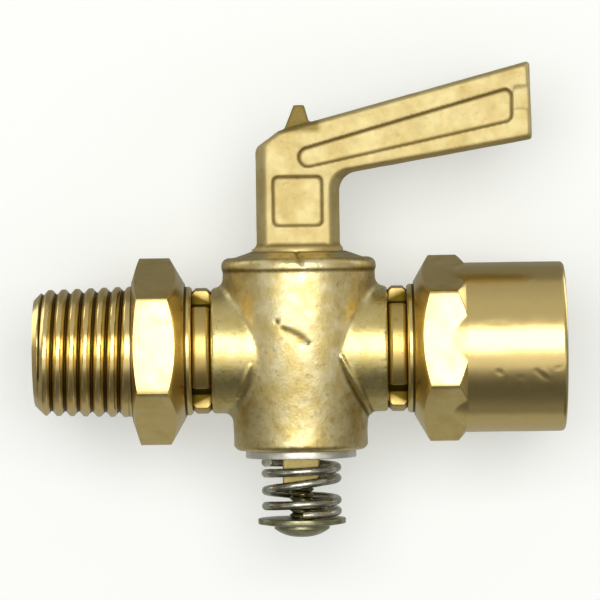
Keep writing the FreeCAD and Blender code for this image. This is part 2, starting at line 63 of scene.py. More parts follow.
# Hollowness, in 1/mm, under which the brass shows neither dirt nor painted shade.
UNMARKED = 0.25


class Lay(Enum):
    """Direction in which a piece's axis runs."""

    PIPE = "x"
    PLUG = "z"


class ThreadForm(Enum):
    """Which side of the metal a thread is cut on."""

    OUTSIDE = 1
    INSIDE = -1


def linear(code: str) -> tuple[float, float, float, float]:
    """Turns an sRGB hex colour into linear RGBA.

    Args:
        code: Colour such as "#D9BE6E".

    Returns:
        Linear red, green, blue and an alpha of one.
    """
    parts = [int(code[i:i + 2], 16) / 255 for i in (1, 3, 5)]
    red, green, blue = (c / 12.92 if c <= 0.04045 else ((c + 0.055) / 1.055) ** 2.4 for c in parts)
    return red, green, blue, 1.0


def add_node(tree: bpy.types.NodeTree, kind: str, settings: dict | None = None,
             links: dict | None = None) -> bpy.types.Node:
    """Adds one node with its settings and links.

    Args:
        tree: Tree that receives the node.
        kind: Blender's identifier of the node type.
        settings: Attribute names, or input names or numbers, with their values.
        links: Input names or numbers with the sockets that feed them.

    Returns:
        The new node.
    """
    node = tree.nodes.new(kind)
    for key, value in (settings or {}).items():
        if isinstance(key, str) and hasattr(node, key):
            setattr(node, key, value)
        else:
            node.inputs[key].default_value = value
    for key, socket in (links or {}).items():
        tree.links.new(socket, node.inputs[key])
    return node


def blank_material(name: str) -> tuple[bpy.types.Material, bpy.types.NodeTree]:
    """Makes a material whose node tree is empty.

    Args:
        name: Name of the material.

    Returns:
        The material and its tree.
    """
    material = bpy.data.materials.new(name)
    material.use_nodes = True
    material.node_tree.nodes.clear()
    return material, material.node_tree


@dataclass(frozen=True)
class BrassFinish:
    """Yellow brass, copper with about 40% zinc: a warm pale metal that browns where dirt and oxide sit.

    A forged skin is dull and mottled with fine pits. A turned face is bright, with tool rings round its axis.
    Hollows, creases and undersides also carry painted shade.
    """

    name: str
    light: str = "#F2E4B2"
    deep: str = "#DCC683"
    turned: str = "#E0CA7C"
    film_and_shade: str = "#9E8A46"
    hollow: str = "#5E4A1A"
    speck: str = "#8A6E32"
    rough: float = 0.42
    rough_spread: float = 0.12
    turned_rough: float = 0.24
    cloud_mm: float = 1.7
    mottle_mm: float = 0.55
    grain_mm: float = 0.26
    grain_height_mm: float = 0.016
    pit_mm: float = 0.9
    pit_height_mm: float = 0.030
    film_share: float = 0.55
    speck_share: float = 0.45
    hollow_gain: float = 1.0
    turning_mm: float = 0.22
    turning_run_mm: float = 14.0
    turning_height_mm: float = 0.0012

    def build(self) -> bpy.types.Material:
        """Makes the node material.

        Returns:
            The material, reading Object coordinates and the pieces' "hollow", "turned" and "soil" attributes.
        """
        material, tree = blank_material(self.name)
        coords = add_node(tree, "ShaderNodeTexCoord").outputs["Object"]
        hollow, turned, soil_and_shade = (
            add_node(tree, "ShaderNodeAttribute", {"attribute_name": name}).outputs["Fac"]
            for name in ("hollow", "turned", "soil_and_shade"))
        cloud, mottle, grain, pits = (
            add_node(tree, "ShaderNodeTexNoise", {"Scale": 1 / (size * MM), "Detail": detail,
                                                  "Roughness": fine}, {"Vector": coords}).outputs["Fac"]
            for size, detail, fine in ((self.cloud_mm, 3.0, 0.5), (self.mottle_mm, 3.0, 0.6),
                                       (self.grain_mm, 2.0, 0.5), (self.pit_mm, 4.0, 0.65)))
        tone = add_node(tree, "ShaderNodeMapRange", {"From Min": 0.36, "From Max": 0.64}, {"Value": cloud})
        base = add_node(tree, "ShaderNodeMix", {"data_type": "RGBA", 6: linear(self.light),
                                                7: linear(self.deep)}, {0: tone.outputs["Result"]})
        cut = add_node(tree, "ShaderNodeMix", {"data_type": "RGBA", 7: linear(self.turned)},
                       {0: turned, 6: base.outputs[2]})
        # A thin brown layer dulls the soiled parts and darkens the painted-shade parts alike, and oxide sits
        # there in closer specks than elsewhere.
        veil = add_node(tree, "ShaderNodeMath", {"operation": "MULTIPLY", 1: self.film_share}, {0: soil_and_shade})
        filmed = add_node(tree, "ShaderNodeMix", {"data_type": "RGBA", 7: linear(self.film_and_shade)},
                          {0: veil.outputs["Value"], 6: cut.outputs[2]})
        least = add_node(tree, "ShaderNodeMath", {"operation": "MULTIPLY_ADD", 1: -0.17, 2: 0.60}, {0: soil_and_shade})
        speck = add_node(tree, "ShaderNodeMapRange", {"From Max": 0.74, "To Max": self.speck_share},
                         {"Value": mottle, "From Min": least.outputs["Value"]})
        specked = add_node(tree, "ShaderNodeMix", {"data_type": "RGBA", 7: linear(self.speck)},
                           {0: speck.outputs["Result"], 6: filmed.outputs[2]})
        # Hollows take the dark hollow colour: dirt, and painted shade in recesses, grooves and joins.
        dirt_and_shade = add_node(tree, "ShaderNodeMapRange", {"From Min": UNMARKED, "From Max": 1.6,
                                                     "To Max": self.hollow_gain}, {"Value": hollow})
        coloured = add_node(tree, "ShaderNodeMix", {"data_type": "RGBA", 7: linear(self.hollow)},
                            {0: dirt_and_shade.outputs["Result"], 6: specked.outputs[2]})
        rough = add_node(tree, "ShaderNodeMapRange", {"From Min": 0.3, "From Max": 0.7,
                                                      "To Min": self.rough - self.rough_spread / 2,
                                                      "To Max": self.rough + self.rough_spread / 2},
                         {"Value": pits})
        shine = add_node(tree, "ShaderNodeMath", {"operation": "MULTIPLY_ADD",
                                                  1: self.turned_rough - self.rough},
                         {0: turned, 2: rough.outputs["Result"]})
        dull = add_node(tree, "ShaderNodeMath", {"operation": "MULTIPLY_ADD", 1: 0.18},
                        {0: dirt_and_shade.outputs["Result"], 2: shine.outputs["Value"]})
        smooth = add_node(tree, "ShaderNodeMapRange", {"To Min": 1.0, "To Max": 0.12}, {"Value": turned})
        pit_bump = add_node(tree, "ShaderNodeBump", {"Distance": self.pit_height_mm * MM},
                            {"Height": pits, "Strength": smooth.outputs["Result"]})
        grain_bump = add_node(tree, "ShaderNodeBump", {"Distance": self.grain_height_mm * MM},
                              {"Height": grain, "Strength": smooth.outputs["Result"],
                               "Normal": pit_bump.outputs["Normal"]})
        # A lathe tool leaves rings about 0.2 mm apart; they run round the pipe, so they change along X only.
        ring_size = (self.turning_mm * MM, self.turning_run_mm * MM, self.turning_run_mm * MM)
        stretch = add_node(tree, "ShaderNodeMapping", {"vector_type": "TEXTURE", "Scale": ring_size},
                           {"Vector": coords})
        rings = add_node(tree, "ShaderNodeTexNoise", {"Scale": 1.0, "Detail": 3.0, "Roughness": 0.7},
                         {"Vector": stretch.outputs["Vector"]})
        ring_bump = add_node(tree, "ShaderNodeBump", {"Distance": self.turning_height_mm * MM},
                             {"Height": rings.outputs["Fac"], "Strength": turned,
                              "Normal": grain_bump.outputs["Normal"]})
        shader = add_node(tree, "ShaderNodeBsdfPrincipled", {"Metallic": 1.0},
                          {"Base Color": coloured.outputs[2], "Roughness": dull.outputs["Value"],
                           "Normal": ring_bump.outputs["Normal"]})
        add_node(tree, "ShaderNodeOutputMaterial", links={"Surface": shader.outputs["BSDF"]})
        return material


@dataclass(frozen=True)
class SteelFinish:
    """Carbon steel under thin zinc or drawn bright: grey, faintly yellow, with fine draw marks."""

    name: str
    light: str
    deep: str
    hollow: str = "#2E2A20"
    rough: float = 0.28
    mark_mm: float = 0.16
    mark_height_mm: float = 0.003
    cloud_mm: float = 1.4

    def build(self) -> bpy.types.Material:
        """Makes the node material.

        Returns:
            The material, reading Object coordinates and the pieces' "hollow" attribute.
        """
        material, tree = blank_material(self.name)
        coords = add_node(tree, "ShaderNodeTexCoord").outputs["Object"]
        cloud = add_node(tree, "ShaderNodeTexNoise", {"Scale": 1 / (self.cloud_mm * MM), "Detail": 3.0},
                         {"Vector": coords})
        marks = add_node(tree, "ShaderNodeTexNoise", {"Scale": 1 / (self.mark_mm * MM), "Detail": 3.0},
                         {"Vector": coords})
        tone = add_node(tree, "ShaderNodeMapRange", {"From Min": 0.35, "From Max": 0.65},
                        {"Value": cloud.outputs["Fac"]})
        base = add_node(tree, "ShaderNodeMix", {"data_type": "RGBA", 6: linear(self.light),
                                                7: linear(self.deep)}, {0: tone.outputs["Result"]})
        # Hollows take the dark hollow colour: dirt, and painted shade in the thread's grooves.
        hollow = add_node(tree, "ShaderNodeAttribute", {"attribute_name": "hollow"})
        dirt_and_shade = add_node(tree, "ShaderNodeMapRange", {"From Min": 0.3, "From Max": 2.5},
                        {"Value": hollow.outputs["Fac"]})
        coloured = add_node(tree, "ShaderNodeMix", {"data_type": "RGBA", 7: linear(self.hollow)},
                            {0: dirt_and_shade.outputs["Result"], 6: base.outputs[2]})
        rough = add_node(tree, "ShaderNodeMapRange", {"From Min": 0.3, "From Max": 0.7,
                                                      "To Min": self.rough - 0.06,
                                                      "To Max": self.rough + 0.08},
                         {"Value": marks.outputs["Fac"]})
        bump = add_node(tree, "ShaderNodeBump", {"Strength": 1.0, "Distance": self.mark_height_mm * MM},
                        {"Height": marks.outputs["Fac"]})
        shader = add_node(tree, "ShaderNodeBsdfPrincipled", {"Metallic": 1.0},
                          {"Base Color": coloured.outputs[2], "Roughness": rough.outputs["Result"],
                           "Normal": bump.outputs["Normal"]})
        add_node(tree, "ShaderNodeOutputMaterial", links={"Surface": shader.outputs["BSDF"]})
        return material


@dataclass(frozen=True)
class SheetFinish:
    """Matt white paper, seen from its front only; its whiteness comes from its colour and a little glow."""

    name: str = "white_paper"
    colour: str = "#DADBD8"
    glow_colour: str = "#F6F8F3"
    glow: float = 0.36
    in_metal_low: float = 0.46
    in_metal_high: float = 0.25
    low_z: float = -20.0
    high_z: float = 25.0

    def build(self) -> bpy.types.Material:
        """Makes the material: lit paper to the camera, a paler lower and dimmer upper part in the metal.

        Returns:
            The material, clear from behind.
        """
        material, tree = blank_material(self.name)
        paper = add_node(tree, "ShaderNodeBsdfDiffuse", {"Color": linear(self.colour)})
        glow = add_node(tree, "ShaderNodeEmission", {"Color": linear(self.glow_colour),
                                                     "Strength": self.glow})
        lit = add_node(tree, "ShaderNodeAddShader", links={0: paper.outputs[0], 1: glow.outputs[0]})
        coords = add_node(tree, "ShaderNodeTexCoord").outputs["Object"]
        height = add_node(tree, "ShaderNodeSeparateXYZ", links={0: coords})
        level = add_node(tree, "ShaderNodeMapRange", {"From Min": self.low_z * MM,
                                                      "From Max": self.high_z * MM,
                                                      "To Min": self.in_metal_low,
                                                      "To Max": self.in_metal_high},
                         {"Value": height.outputs["Z"]})
        mirrored = add_node(tree, "ShaderNodeEmission", {"Color": linear(self.glow_colour)},
                            {"Strength": level.outputs["Result"]})
        # Metal sees the sheet by the glossy ray, at the level that the photograph's brass shows it.
        path = add_node(tree, "ShaderNodeLightPath")
        bounced = add_node(tree, "ShaderNodeMath", {"operation": "MAXIMUM"},
                           {0: path.outputs["Is Glossy Ray"], 1: path.outputs["Is Transmission Ray"]})
        front = add_node(tree, "ShaderNodeMixShader", links={0: bounced.outputs[0], 1: lit.outputs[0],
                                                             2: mirrored.outputs[0]})
        clear = add_node(tree, "ShaderNodeBsdfTransparent")
        side = add_node(tree, "ShaderNodeNewGeometry")
        mix = add_node(tree, "ShaderNodeMixShader", links={0: side.outputs["Backfacing"], 1: front.outputs[0],
                                                           2: clear.outputs[0]})
        add_node(tree, "ShaderNodeOutputMaterial", links={"Surface": mix.outputs[0]})
        return material


def new_piece(name: str, mesh: bpy.types.Mesh, materials: Sequence[bpy.types.Material]) -> bpy.types.Object:
    """Links a mesh to the scene as a piece at the origin.

    Args:
        name: Name of the piece.
        mesh: Mesh in metres, in the row's frame.
        materials: Materials for its slots, in order.

    Returns:
        The new object.
    """
    piece = bpy.data.objects.new(name, mesh)
    bpy.context.scene.collection.objects.link(piece)
    mesh.materials.clear()
    for material in materials:
        mesh.materials.append(material)
    return piece


@contextmanager
def editing(mesh: bpy.types.Mesh) -> Iterator[bmesh.types.BMesh]:
    """Opens a mesh for editing, and writes the changes back to it.

    Args:
        mesh: Mesh to edit.

    Yields:
        The editable copy of it.
    """
    work = bmesh.new()
    work.from_mesh(mesh)
    yield work
    work.to_mesh(mesh)
    work.free()


def apply_modifiers(piece: bpy.types.Object) -> None:
    """Turns a piece's modifiers into plain mesh and removes them.

    Args:
        piece: Piece that has them.
    """
    depsgraph = bpy.context.evaluated_depsgraph_get()
    depsgraph.update()
    plain = bpy.data.meshes.new_from_object(piece.evaluated_get(depsgraph), depsgraph=depsgraph)
    piece.modifiers.clear()
    old = piece.data
    piece.data = plain
    bpy.data.meshes.remove(old)


def break_arrises(piece: bpy.types.Object, width: float, segments: int, degrees: float) -> None:
    """Bevels the sharp edges of a piece.

    Args:
        piece: Piece without other modifiers.
        width: Width of the bevel in millimetres.
        segments: Faces across the bevel.
        degrees: Least angle between the faces of an edge that is bevelled.
    """
    bevel = piece.modifiers.new("arrises", "BEVEL")
    bevel.width = width * MM
    bevel.segments = segments
    bevel.limit_method = "ANGLE"
    bevel.angle_limit = math.radians(degrees)
    apply_modifiers(piece)


def shade_by_angle(mesh: bpy.types.Mesh, degrees: float) -> None:
    """Shades all faces smooth and marks edges sharper than the angle.

    Args:
        mesh: Mesh to shade.
        degrees: Largest angle between faces that still looks smooth.
    """
    limit = math.radians(degrees)
    with editing(mesh) as work:
        for face in work.faces:
            face.smooth = True
        for edge in work.edges:
            edge.smooth = len(edge.link_faces) != 2 or edge.calc_face_angle(0.0) < limit


def mesh_arrays(mesh: bpy.types.Mesh) -> tuple[np.ndarray, np.ndarray, np.ndarray]:
    """Reads a mesh as arrays.

    Args:
        mesh: Mesh to read.

    Returns:
        Points and normals in millimetres and unit vectors, and the edges' vertex numbers.
    """
    points = np.empty(len(mesh.vertices) * 3)
    normals = np.empty(len(mesh.vertices) * 3, np.float32)
    edges = np.empty(len(mesh.edges) * 2, np.int32)
    mesh.vertices.foreach_get("co", points)
    mesh.vertex_normals.foreach_get("vector", normals)
    mesh.edges.foreach_get("vertices", edges)
    return points.reshape(-1, 3) / MM, normals.reshape(-1, 3).astype(float), edges.reshape(-1, 2)


def spread(values: np.ndarray, edges: np.ndarray, rounds: int) -> np.ndarray:
    """Averages each vertex value with its neighbours' a number of times.

    Args:
        values: A number or a point for each vertex.
        edges: The edges' vertex numbers.
        rounds: How many times.

    Returns:
        The averaged values.
    """
    count = np.bincount(edges.ravel(), minlength=len(values)).astype(float)
    shape = (-1,) + (1,) * (values.ndim - 1)
    for _ in range(rounds):
        total = np.zeros_like(values)
        np.add.at(total, edges[:, 0], values[edges[:, 1]])
        np.add.at(total, edges[:, 1], values[edges[:, 0]])
        values = 0.5 * values + 0.5 * total / np.maximum(count, 1).reshape(shape)
    return values


def set_attribute(mesh: bpy.types.Mesh, name: str, values: np.ndarray) -> None:
    """Stores one number for each vertex under a name."""
    layer = mesh.attributes.get(name) or mesh.attributes.new(name, "FLOAT", "POINT")
    layer.data.foreach_set("value", values.astype(np.float32))


def get_attribute(mesh: bpy.types.Mesh, name: str) -> np.ndarray:
    """Reads back the number that each vertex has under a name.

    Args:
        mesh: Mesh that has the attribute.
        name: The attribute's name.

    Returns:
        One number for each vertex.
    """
    found = np.empty(len(mesh.vertices), np.float32)
    mesh.attributes[name].data.foreach_get("value", found)
    return found


def ramp(values: np.ndarray, start: float, end: float) -> np.ndarray:
    """Zero up to the start, one from the end on, and a straight rise between them."""
    return np.clip((values - start) / (end - start), 0, 1)


def band(values: np.ndarray, middle: float, half: float) -> np.ndarray:
    """One at the middle, falling to zero at half a width to either side."""
    return np.clip(1 - np.abs(values - middle) / half, 0, 1)


def mark_hollows(mesh: bpy.types.Mesh, rounds: int = 3) -> None:
    """Stores how hollow the surface is at each vertex, in 1/mm, as the attribute "hollow".

    Args:
        mesh: Mesh with even faces.
        rounds: How far the measure is spread over neighbours.
    """
    points, normals, edges = mesh_arrays(mesh)
    spans = points[edges[:, 1]] - points[edges[:, 0]]
    lengths = np.maximum((spans ** 2).sum(1), 1e-9)
    bend = np.zeros(len(points))
    np.add.at(bend, edges[:, 0], (spans * normals[edges[:, 0]]).sum(1) / lengths)
    np.add.at(bend, edges[:, 1], -(spans * normals[edges[:, 1]]).sum(1) / lengths)
    count = np.bincount(edges.ravel(), minlength=len(points))
    set_attribute(mesh, "hollow", spread(2 * bend / np.maximum(count, 1), edges, rounds))


def cap_hollows(mesh: bpy.types.Mesh, where: np.ndarray, most: float) -> None:
    """Keeps the "hollow" attribute at or under a value, in 1/mm, at the chosen vertices."""
    found = get_attribute(mesh, "hollow")
    set_attribute(mesh, "hollow", np.where(where, np.minimum(found, most), found))


@dataclass
class Scar:
    """A dent, nick or ridge along a line on the front of a forging, in plug-axis X and Z."""

    start: tuple[float, float]
    end: tuple[float, float]
    width: float
    height: float
    front_y: float = -1.0

    def height_at(self, points: np.ndarray) -> np.ndarray:
        """Works out the scar's height over each point on the front.

        Args:
            points: Points in millimetres from the crossing of the axes.

        Returns:
            Heights in millimetres, zero behind the front.
        """
        a, b = np.array(self.start), np.array(self.end)
        flat = points[:, [0, 2]] - a
        along = np.clip((flat @ (b - a)) / max(((b - a) ** 2).sum(), 1e-9), 0, 1)
        away = np.sqrt(((flat - along[:, None] * (b - a)) ** 2).sum(1))
        taper = 0.45 + 0.55 * np.sin(np.pi * np.clip(along, 0.02, 0.98))
        return self.height * np.exp(-(away / (self.width * taper)) ** 2) * (points[:, 1] < self.front_y)


def noise_at(points: np.ndarray, size_mm: float, seed: float) -> np.ndarray:
    """Smooth noise between about -1 and 1 at each point, with lumps of the given size."""
    scaled = points / size_mm + seed
    return np.array([noise.noise(Vector(p)) for p in scaled])


@dataclass
class Forging:
    """A forged brass piece: its CAD solid with rounded arrises, a slightly uneven skin and small scars.

    All sizes are in millimetres, and its own places are measured from the crossing of the two axes.
    """

    node: str
    body: str
    name: str
    voxel: float = 0.15
    off_grid: tuple[float, float, float] = (0.043, 0.061, 0.037)
    wave: float = 0.035
    wave_size: float = 2.4
    wave_seed: float = 3.1
    lump: float = 0.014
    lump_size: float = 0.75
    lump_seed: float = 11.7
    relax_rounds: int = 2
    relax_most: float = 0.05
    scar_soil: float = 1.5
    scar_soil_depth: float = 0.12
    crevice_most: float = 1.3
    scars: list[Scar] = field(default_factory=list)

    def skin(self, points: np.ndarray, normals: np.ndarray) -> np.ndarray:
        """How much of the forged skin each point has."""
        raise NotImplementedError

    def soil_and_shade(self, points: np.ndarray, normals: np.ndarray) -> np.ndarray:
        """How much brown oxide and painted shade darken each point."""
        raise NotImplementedError

    def turned(self, points: np.ndarray, normals: np.ndarray) -> np.ndarray:
        """How far each point was turned on a lathe."""
        raise NotImplementedError

    def shade_and_dirt_lines(self, points: np.ndarray) -> np.ndarray:
        """Hollowness in 1/mm of the named lines of dirt and painted shade."""
        raise NotImplementedError

    def smooth(self, points: np.ndarray) -> np.ndarray:
        """True where the surface has no hollows, whatever small steps the even faces leave there."""
        return np.zeros(len(points), bool)

    def build(self, finish: bpy.types.Material) -> bpy.types.Object:
        """Makes the piece from a copy of its CAD solid.

        Args:
            finish: Material of the whole forging.

        Returns:
            The finished piece, riding on its body in place of the CAD node.
        """
        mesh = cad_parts[self.node].data.copy()
        # The solid's flat faces and middle edges must not fall on the grid's own planes, or slots appear.
        off_grid = Vector(self.off_grid) * MM
        with editing(mesh) as work:
            bmesh.ops.remove_doubles(work, verts=work.verts, dist=WELD)
            bmesh.ops.translate(work, vec=off_grid, verts=work.verts)
        piece = new_piece(self.name, mesh, [finish])
        remesh = piece.modifiers.new("even_faces", "REMESH")
        remesh.mode = "VOXEL"
        remesh.voxel_size = self.voxel * MM
        apply_modifiers(piece)
        piece.data.transform(Matrix.Translation(-off_grid))
        self.roughen(piece.data)
        for polygon in piece.data.polygons:
            polygon.use_smooth = True
        self.lay_dirt_and_shade(piece.data)
        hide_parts(self.node)
        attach(piece, self.body)
        return piece

    def roughen(self, mesh: bpy.types.Mesh) -> None:
        """Moves the skin along its normals by waves, lumps and scars, and marks turning, and oxide with
        painted shade.

        Args:
            mesh: Mesh with even faces, in the row's frame.
        """
        points, normals, edges = mesh_arrays(mesh)
        relaxed = spread(points, edges, self.relax_rounds)
        shift = ((relaxed - points) * normals).sum(1)
        local = points - PLUG_ORIGIN
        height = self.wave * noise_at(points, self.wave_size, self.wave_seed)
        height += self.lump * noise_at(points, self.lump_size, self.lump_seed)
        height *= self.skin(local, normals)
        for scar in self.scars:
            height += scar.height_at(local)
        out = np.clip(shift, -self.relax_most, self.relax_most) + height
        mesh.vertices.foreach_set("co", ((points + normals * out[:, None]) * MM).ravel())
        mesh.update()
        set_attribute(mesh, "turned", spread(self.turned(local, normals), edges, 2))
        darkening = self.soil_and_shade(local, normals)
        for scar in self.scars:
            darkening = darkening + self.scar_soil * ramp(-scar.height_at(local), 0, self.scar_soil_depth)
        set_attribute(mesh, "soil_and_shade", spread(np.clip(darkening, 0, 1), edges, 1))

    def lay_dirt_and_shade(self, mesh: bpy.types.Mesh) -> None:
        """Marks the hollows, dark with dirt and painted shade, and the named lines of dirt and painted shade
        over them.

        Args:
            mesh: Finished mesh, in the row's frame.
        """
        mark_hollows(mesh)
        points, _, edges = mesh_arrays(mesh)
        local = points - PLUG_ORIGIN
        cap_hollows(mesh, self.smooth(local), UNMARKED)
        laid = spread(self.shade_and_dirt_lines(local), edges, 1)
        set_attribute(mesh, "hollow", np.maximum(np.minimum(get_attribute(mesh, "hollow"), self.crevice_most),
                                                 laid))


@dataclass
class ValveBody(Forging):
    """The body: a barrel with a domed rim and two arms, whose walls were turned and have dulled since."""

    node: str = "valve_body"
    body: str = "valve"
    name: str = "body_forging"
    voxel: float = 0.17
    scars: list[Scar] = field(default_factory=lambda: [
        Scar((-1.7, 2.35), (1.0, 0.8), 0.46, -0.16),
        Scar((-2.4, 3.2), (-2.2, 3.0), 0.3, -0.12),
        Scar((4.35, -0.6), (7.25, -6.6), 0.3, 0.34),
        Scar((-5.1, -1.4), (-6.4, -4.8), 0.22, 0.14),
        Scar((-0.25, 10.2), (0.5, 8.9), 0.3, -0.2),
    ])
    bore_r: float = 5.4
    socket_from: float = 4.5
    skin_low_z: float = -10.35
    faced_z: float = -10.3
    arm_face_x: float = 9.0
    arm_skin_r: float = 6.66
    arm_skin_from: float = 4.0
    arm_turned_r: float = 6.68
    arm_turned_from: float = 3.9
    arm_join: tuple[float, float] = (4.2, 6.2)
    arm_join_r: float = 6.9
    soil_low: tuple[float, float] = (-1.5, -6.0)
    soil_shoulder: tuple[float, float] = (4.5, 7.0)
    crease_z: float = 8.36
    crease_r: float = 7.6
    dome_soil: tuple[float, float] = (9.3, 9.6)
    dome_r: tuple[float, float] = (6.5, 8.0)
    dome_z: float = 9.0
    nick_half: float = 0.35
    collar_r: float = 5.2
    collar_z: float = 9.6

    def skin(self, points: np.ndarray, normals: np.ndarray) -> np.ndarray:
        """How much of the forged skin each point has: none in bores, little on the arms' turned walls.

        Args:
            points: Points in millimetres from the crossing of the axes.
            normals: Their normals; not used.

        Returns:
            Shares from 0 to 1.
        """
        from_pipe = np.hypot(points[:, 1], points[:, 2])
        outside = (np.hypot(points[:, 0], points[:, 1]) > self.bore_r) & (points[:, 2] > self.skin_low_z)
        socket = (from_pipe < self.bore_r) & (np.abs(points[:, 0]) > self.socket_from)
        arm = (from_pipe < self.arm_skin_r) & (np.abs(points[:, 0]) > self.arm_skin_from)
        return outside * ~socket * (1 - 0.85 * arm)

    def soil_and_shade(self, points: np.ndarray, normals: np.ndarray) -> np.ndarray:
        """Brown oxide low on the body, on its dome and where the arms meet it, and painted shade under its
        rim.

        Args:
            points: Points in millimetres from the crossing of the axes.
            normals: Their normals; not used.

        Returns:
            Shares, from 0 to a little over 1.
        """
        from_pipe = np.hypot(points[:, 1], points[:, 2])
        low = ramp(points[:, 2], *self.soil_low) * (points[:, 2] > self.faced_z)
        # Painted shade: a dark band in the crease under the rim's overhang.
        rim_shade = band(points[:, 2], self.crease_z - 0.01, 0.3)
        dome = ramp(points[:, 2], *self.dome_soil)
        edge = ramp(np.abs(points[:, 0]), *self.arm_join) * (from_pipe > self.arm_join_r)
        shoulder = edge * ramp(points[:, 2], *self.soil_shoulder)
        return 0.06 + 0.5 * low + 0.8 * rim_shade + 0.65 * dome + 0.12 * edge + 0.6 * shoulder

    def turned(self, points: np.ndarray, normals: np.ndarray) -> np.ndarray:
        """Full on the faced bottom and the arms' ends, less on the arms' dulled walls.

        Args:
            points: Points in millimetres from the crossing of the axes.
            normals: Their normals.

        Returns:
            Shares from 0 to 1.
        """
        across = np.abs(points[:, 0])
        wall = (np.hypot(points[:, 1], points[:, 2]) < self.arm_turned_r) & (np.abs(normals[:, 0]) < 0.3)
        faced = (points[:, 2] < self.faced_z) | (across > self.arm_face_x)
        return np.where(faced, 1.0, 0.62 * (wall & (across > self.arm_turned_from)))

    def shade_and_dirt_lines(self, points: np.ndarray) -> np.ndarray:
        """Painted shade in the crease under the rim, and in the line round the plug's collar.

        Args:
            points: Points in millimetres from the crossing of the axes.

        Returns:
            Hollowness in 1/mm.
        """
        far = np.hypot(points[:, 0], points[:, 1])
        # Painted shade: dark lines in the crease under the rim and round the plug's collar.
        crease = ramp(np.abs(points[:, 2] - self.crease_z), 0.312, 0.072) * (far > self.crease_r)
        collar = band(far, self.collar_r, 0.5) * (points[:, 2] > self.collar_z)
        return 1.25 * crease + 1.1 * collar

    def smooth(self, points: np.ndarray) -> np.ndarray:
        """True on the dome between the plug's pocket and the rim, apart from the nick at the front.

        Args:
            points: Points in millimetres from the crossing of the axes.

        Returns:
            One truth value for each point.
        """
        far = np.hypot(points[:, 0], points[:, 1])
        nick = (np.abs(points[:, 0]) < self.nick_half) & (points[:, 1] < 0)
        return (far > self.dome_r[0]) & (far < self.dome_r[1]) & (points[:, 2] > self.dome_z) & ~nick


@dataclass
class PlugLever(Forging):
    """The plug with its lever: as forged above the collar, turned and lapped where it sits in its seat."""

    node: str = "plug_lever"
    body: str = "plug"
    name: str = "lever_forging"
    wave: float = 0.02
    lump: float = 0.01
    skin_z: float = 10.9
    plug_top_z: float = 10.3
    tail_z: float = -10.3
    foot_z: float = 10.95
    stem_top_z: float = 19.0
    arm_z: float = 12.0
    nub_near: tuple[float, float] = (2.6, 2.0)
    nub_foot_z: float = 23.1
    nub_soil: tuple[float, float] = (22.5, 23.0)
    nub_side: tuple[float, float] = (23.2, 23.5)

    def skin(self, points: np.ndarray, normals: np.ndarray) -> np.ndarray:
        """Full skin on the stem and lever, none on the ground plug and its tail."""
        return (points[:, 2] > self.skin_z).astype(float)

    def soil_and_shade(self, points: np.ndarray, normals: np.ndarray) -> np.ndarray:
        """Painted shade on the stem's drafted sides and the arm's underside; brown oxide on the nub, most at
        its foot.

        Args:
            points: Points in millimetres from the crossing of the axes.
            normals: Their normals.

        Returns:
            Shares, from 0 to a little over 1.
        """
        near = ramp(np.abs(points[:, 0]), *self.nub_near)
        # The stem's drafted sides and the arm's underside are darkened as painted shade.
        stem_side_shade = (np.abs(normals[:, 0]) > 0.55) & (points[:, 2] < self.stem_top_z)
        nub = ramp(points[:, 2], *self.nub_soil) * near
        foot = band(points[:, 2], self.nub_foot_z, 0.5) * near
        tail = points[:, 2] < self.tail_z
        underside = (normals[:, 2] < -0.6) & (points[:, 2] > self.arm_z)
        return 0.04 + 0.2 * stem_side_shade + 1.0 * nub + 0.4 * foot + 0.55 * tail + 0.35 * underside

    def turned(self, points: np.ndarray, normals: np.ndarray) -> np.ndarray:
        """One on the ground plug, less on the tail that was left as forged."""
        plug = (points[:, 2] < self.plug_top_z).astype(float)
        return np.where(points[:, 2] < self.tail_z, 0.3, plug)

    def shade_and_dirt_lines(self, points: np.ndarray) -> np.ndarray:
        """Painted shade round the stem's foot, and dirt on the nub and its foot.

        Args:
            points: Points in millimetres from the crossing of the axes.

        Returns:
            Hollowness in 1/mm.
        """
        near = ramp(np.abs(points[:, 0]), *self.nub_near)
        # Painted shade: a dark line round the stem's foot, where it meets the body.
        foot = band(points[:, 2], self.foot_z, 0.35)
        nub = band(points[:, 2], self.nub_foot_z, 0.3) * near
        side = ramp(points[:, 2], *self.nub_side) * near
        return 1.1 * foot + 0.9 * nub + 0.75 * side


@dataclass
class Ring:
    """One ring of points round an axis: each column has its own place along the axis and radius."""

    along: np.ndarray
    radius: np.ndarray


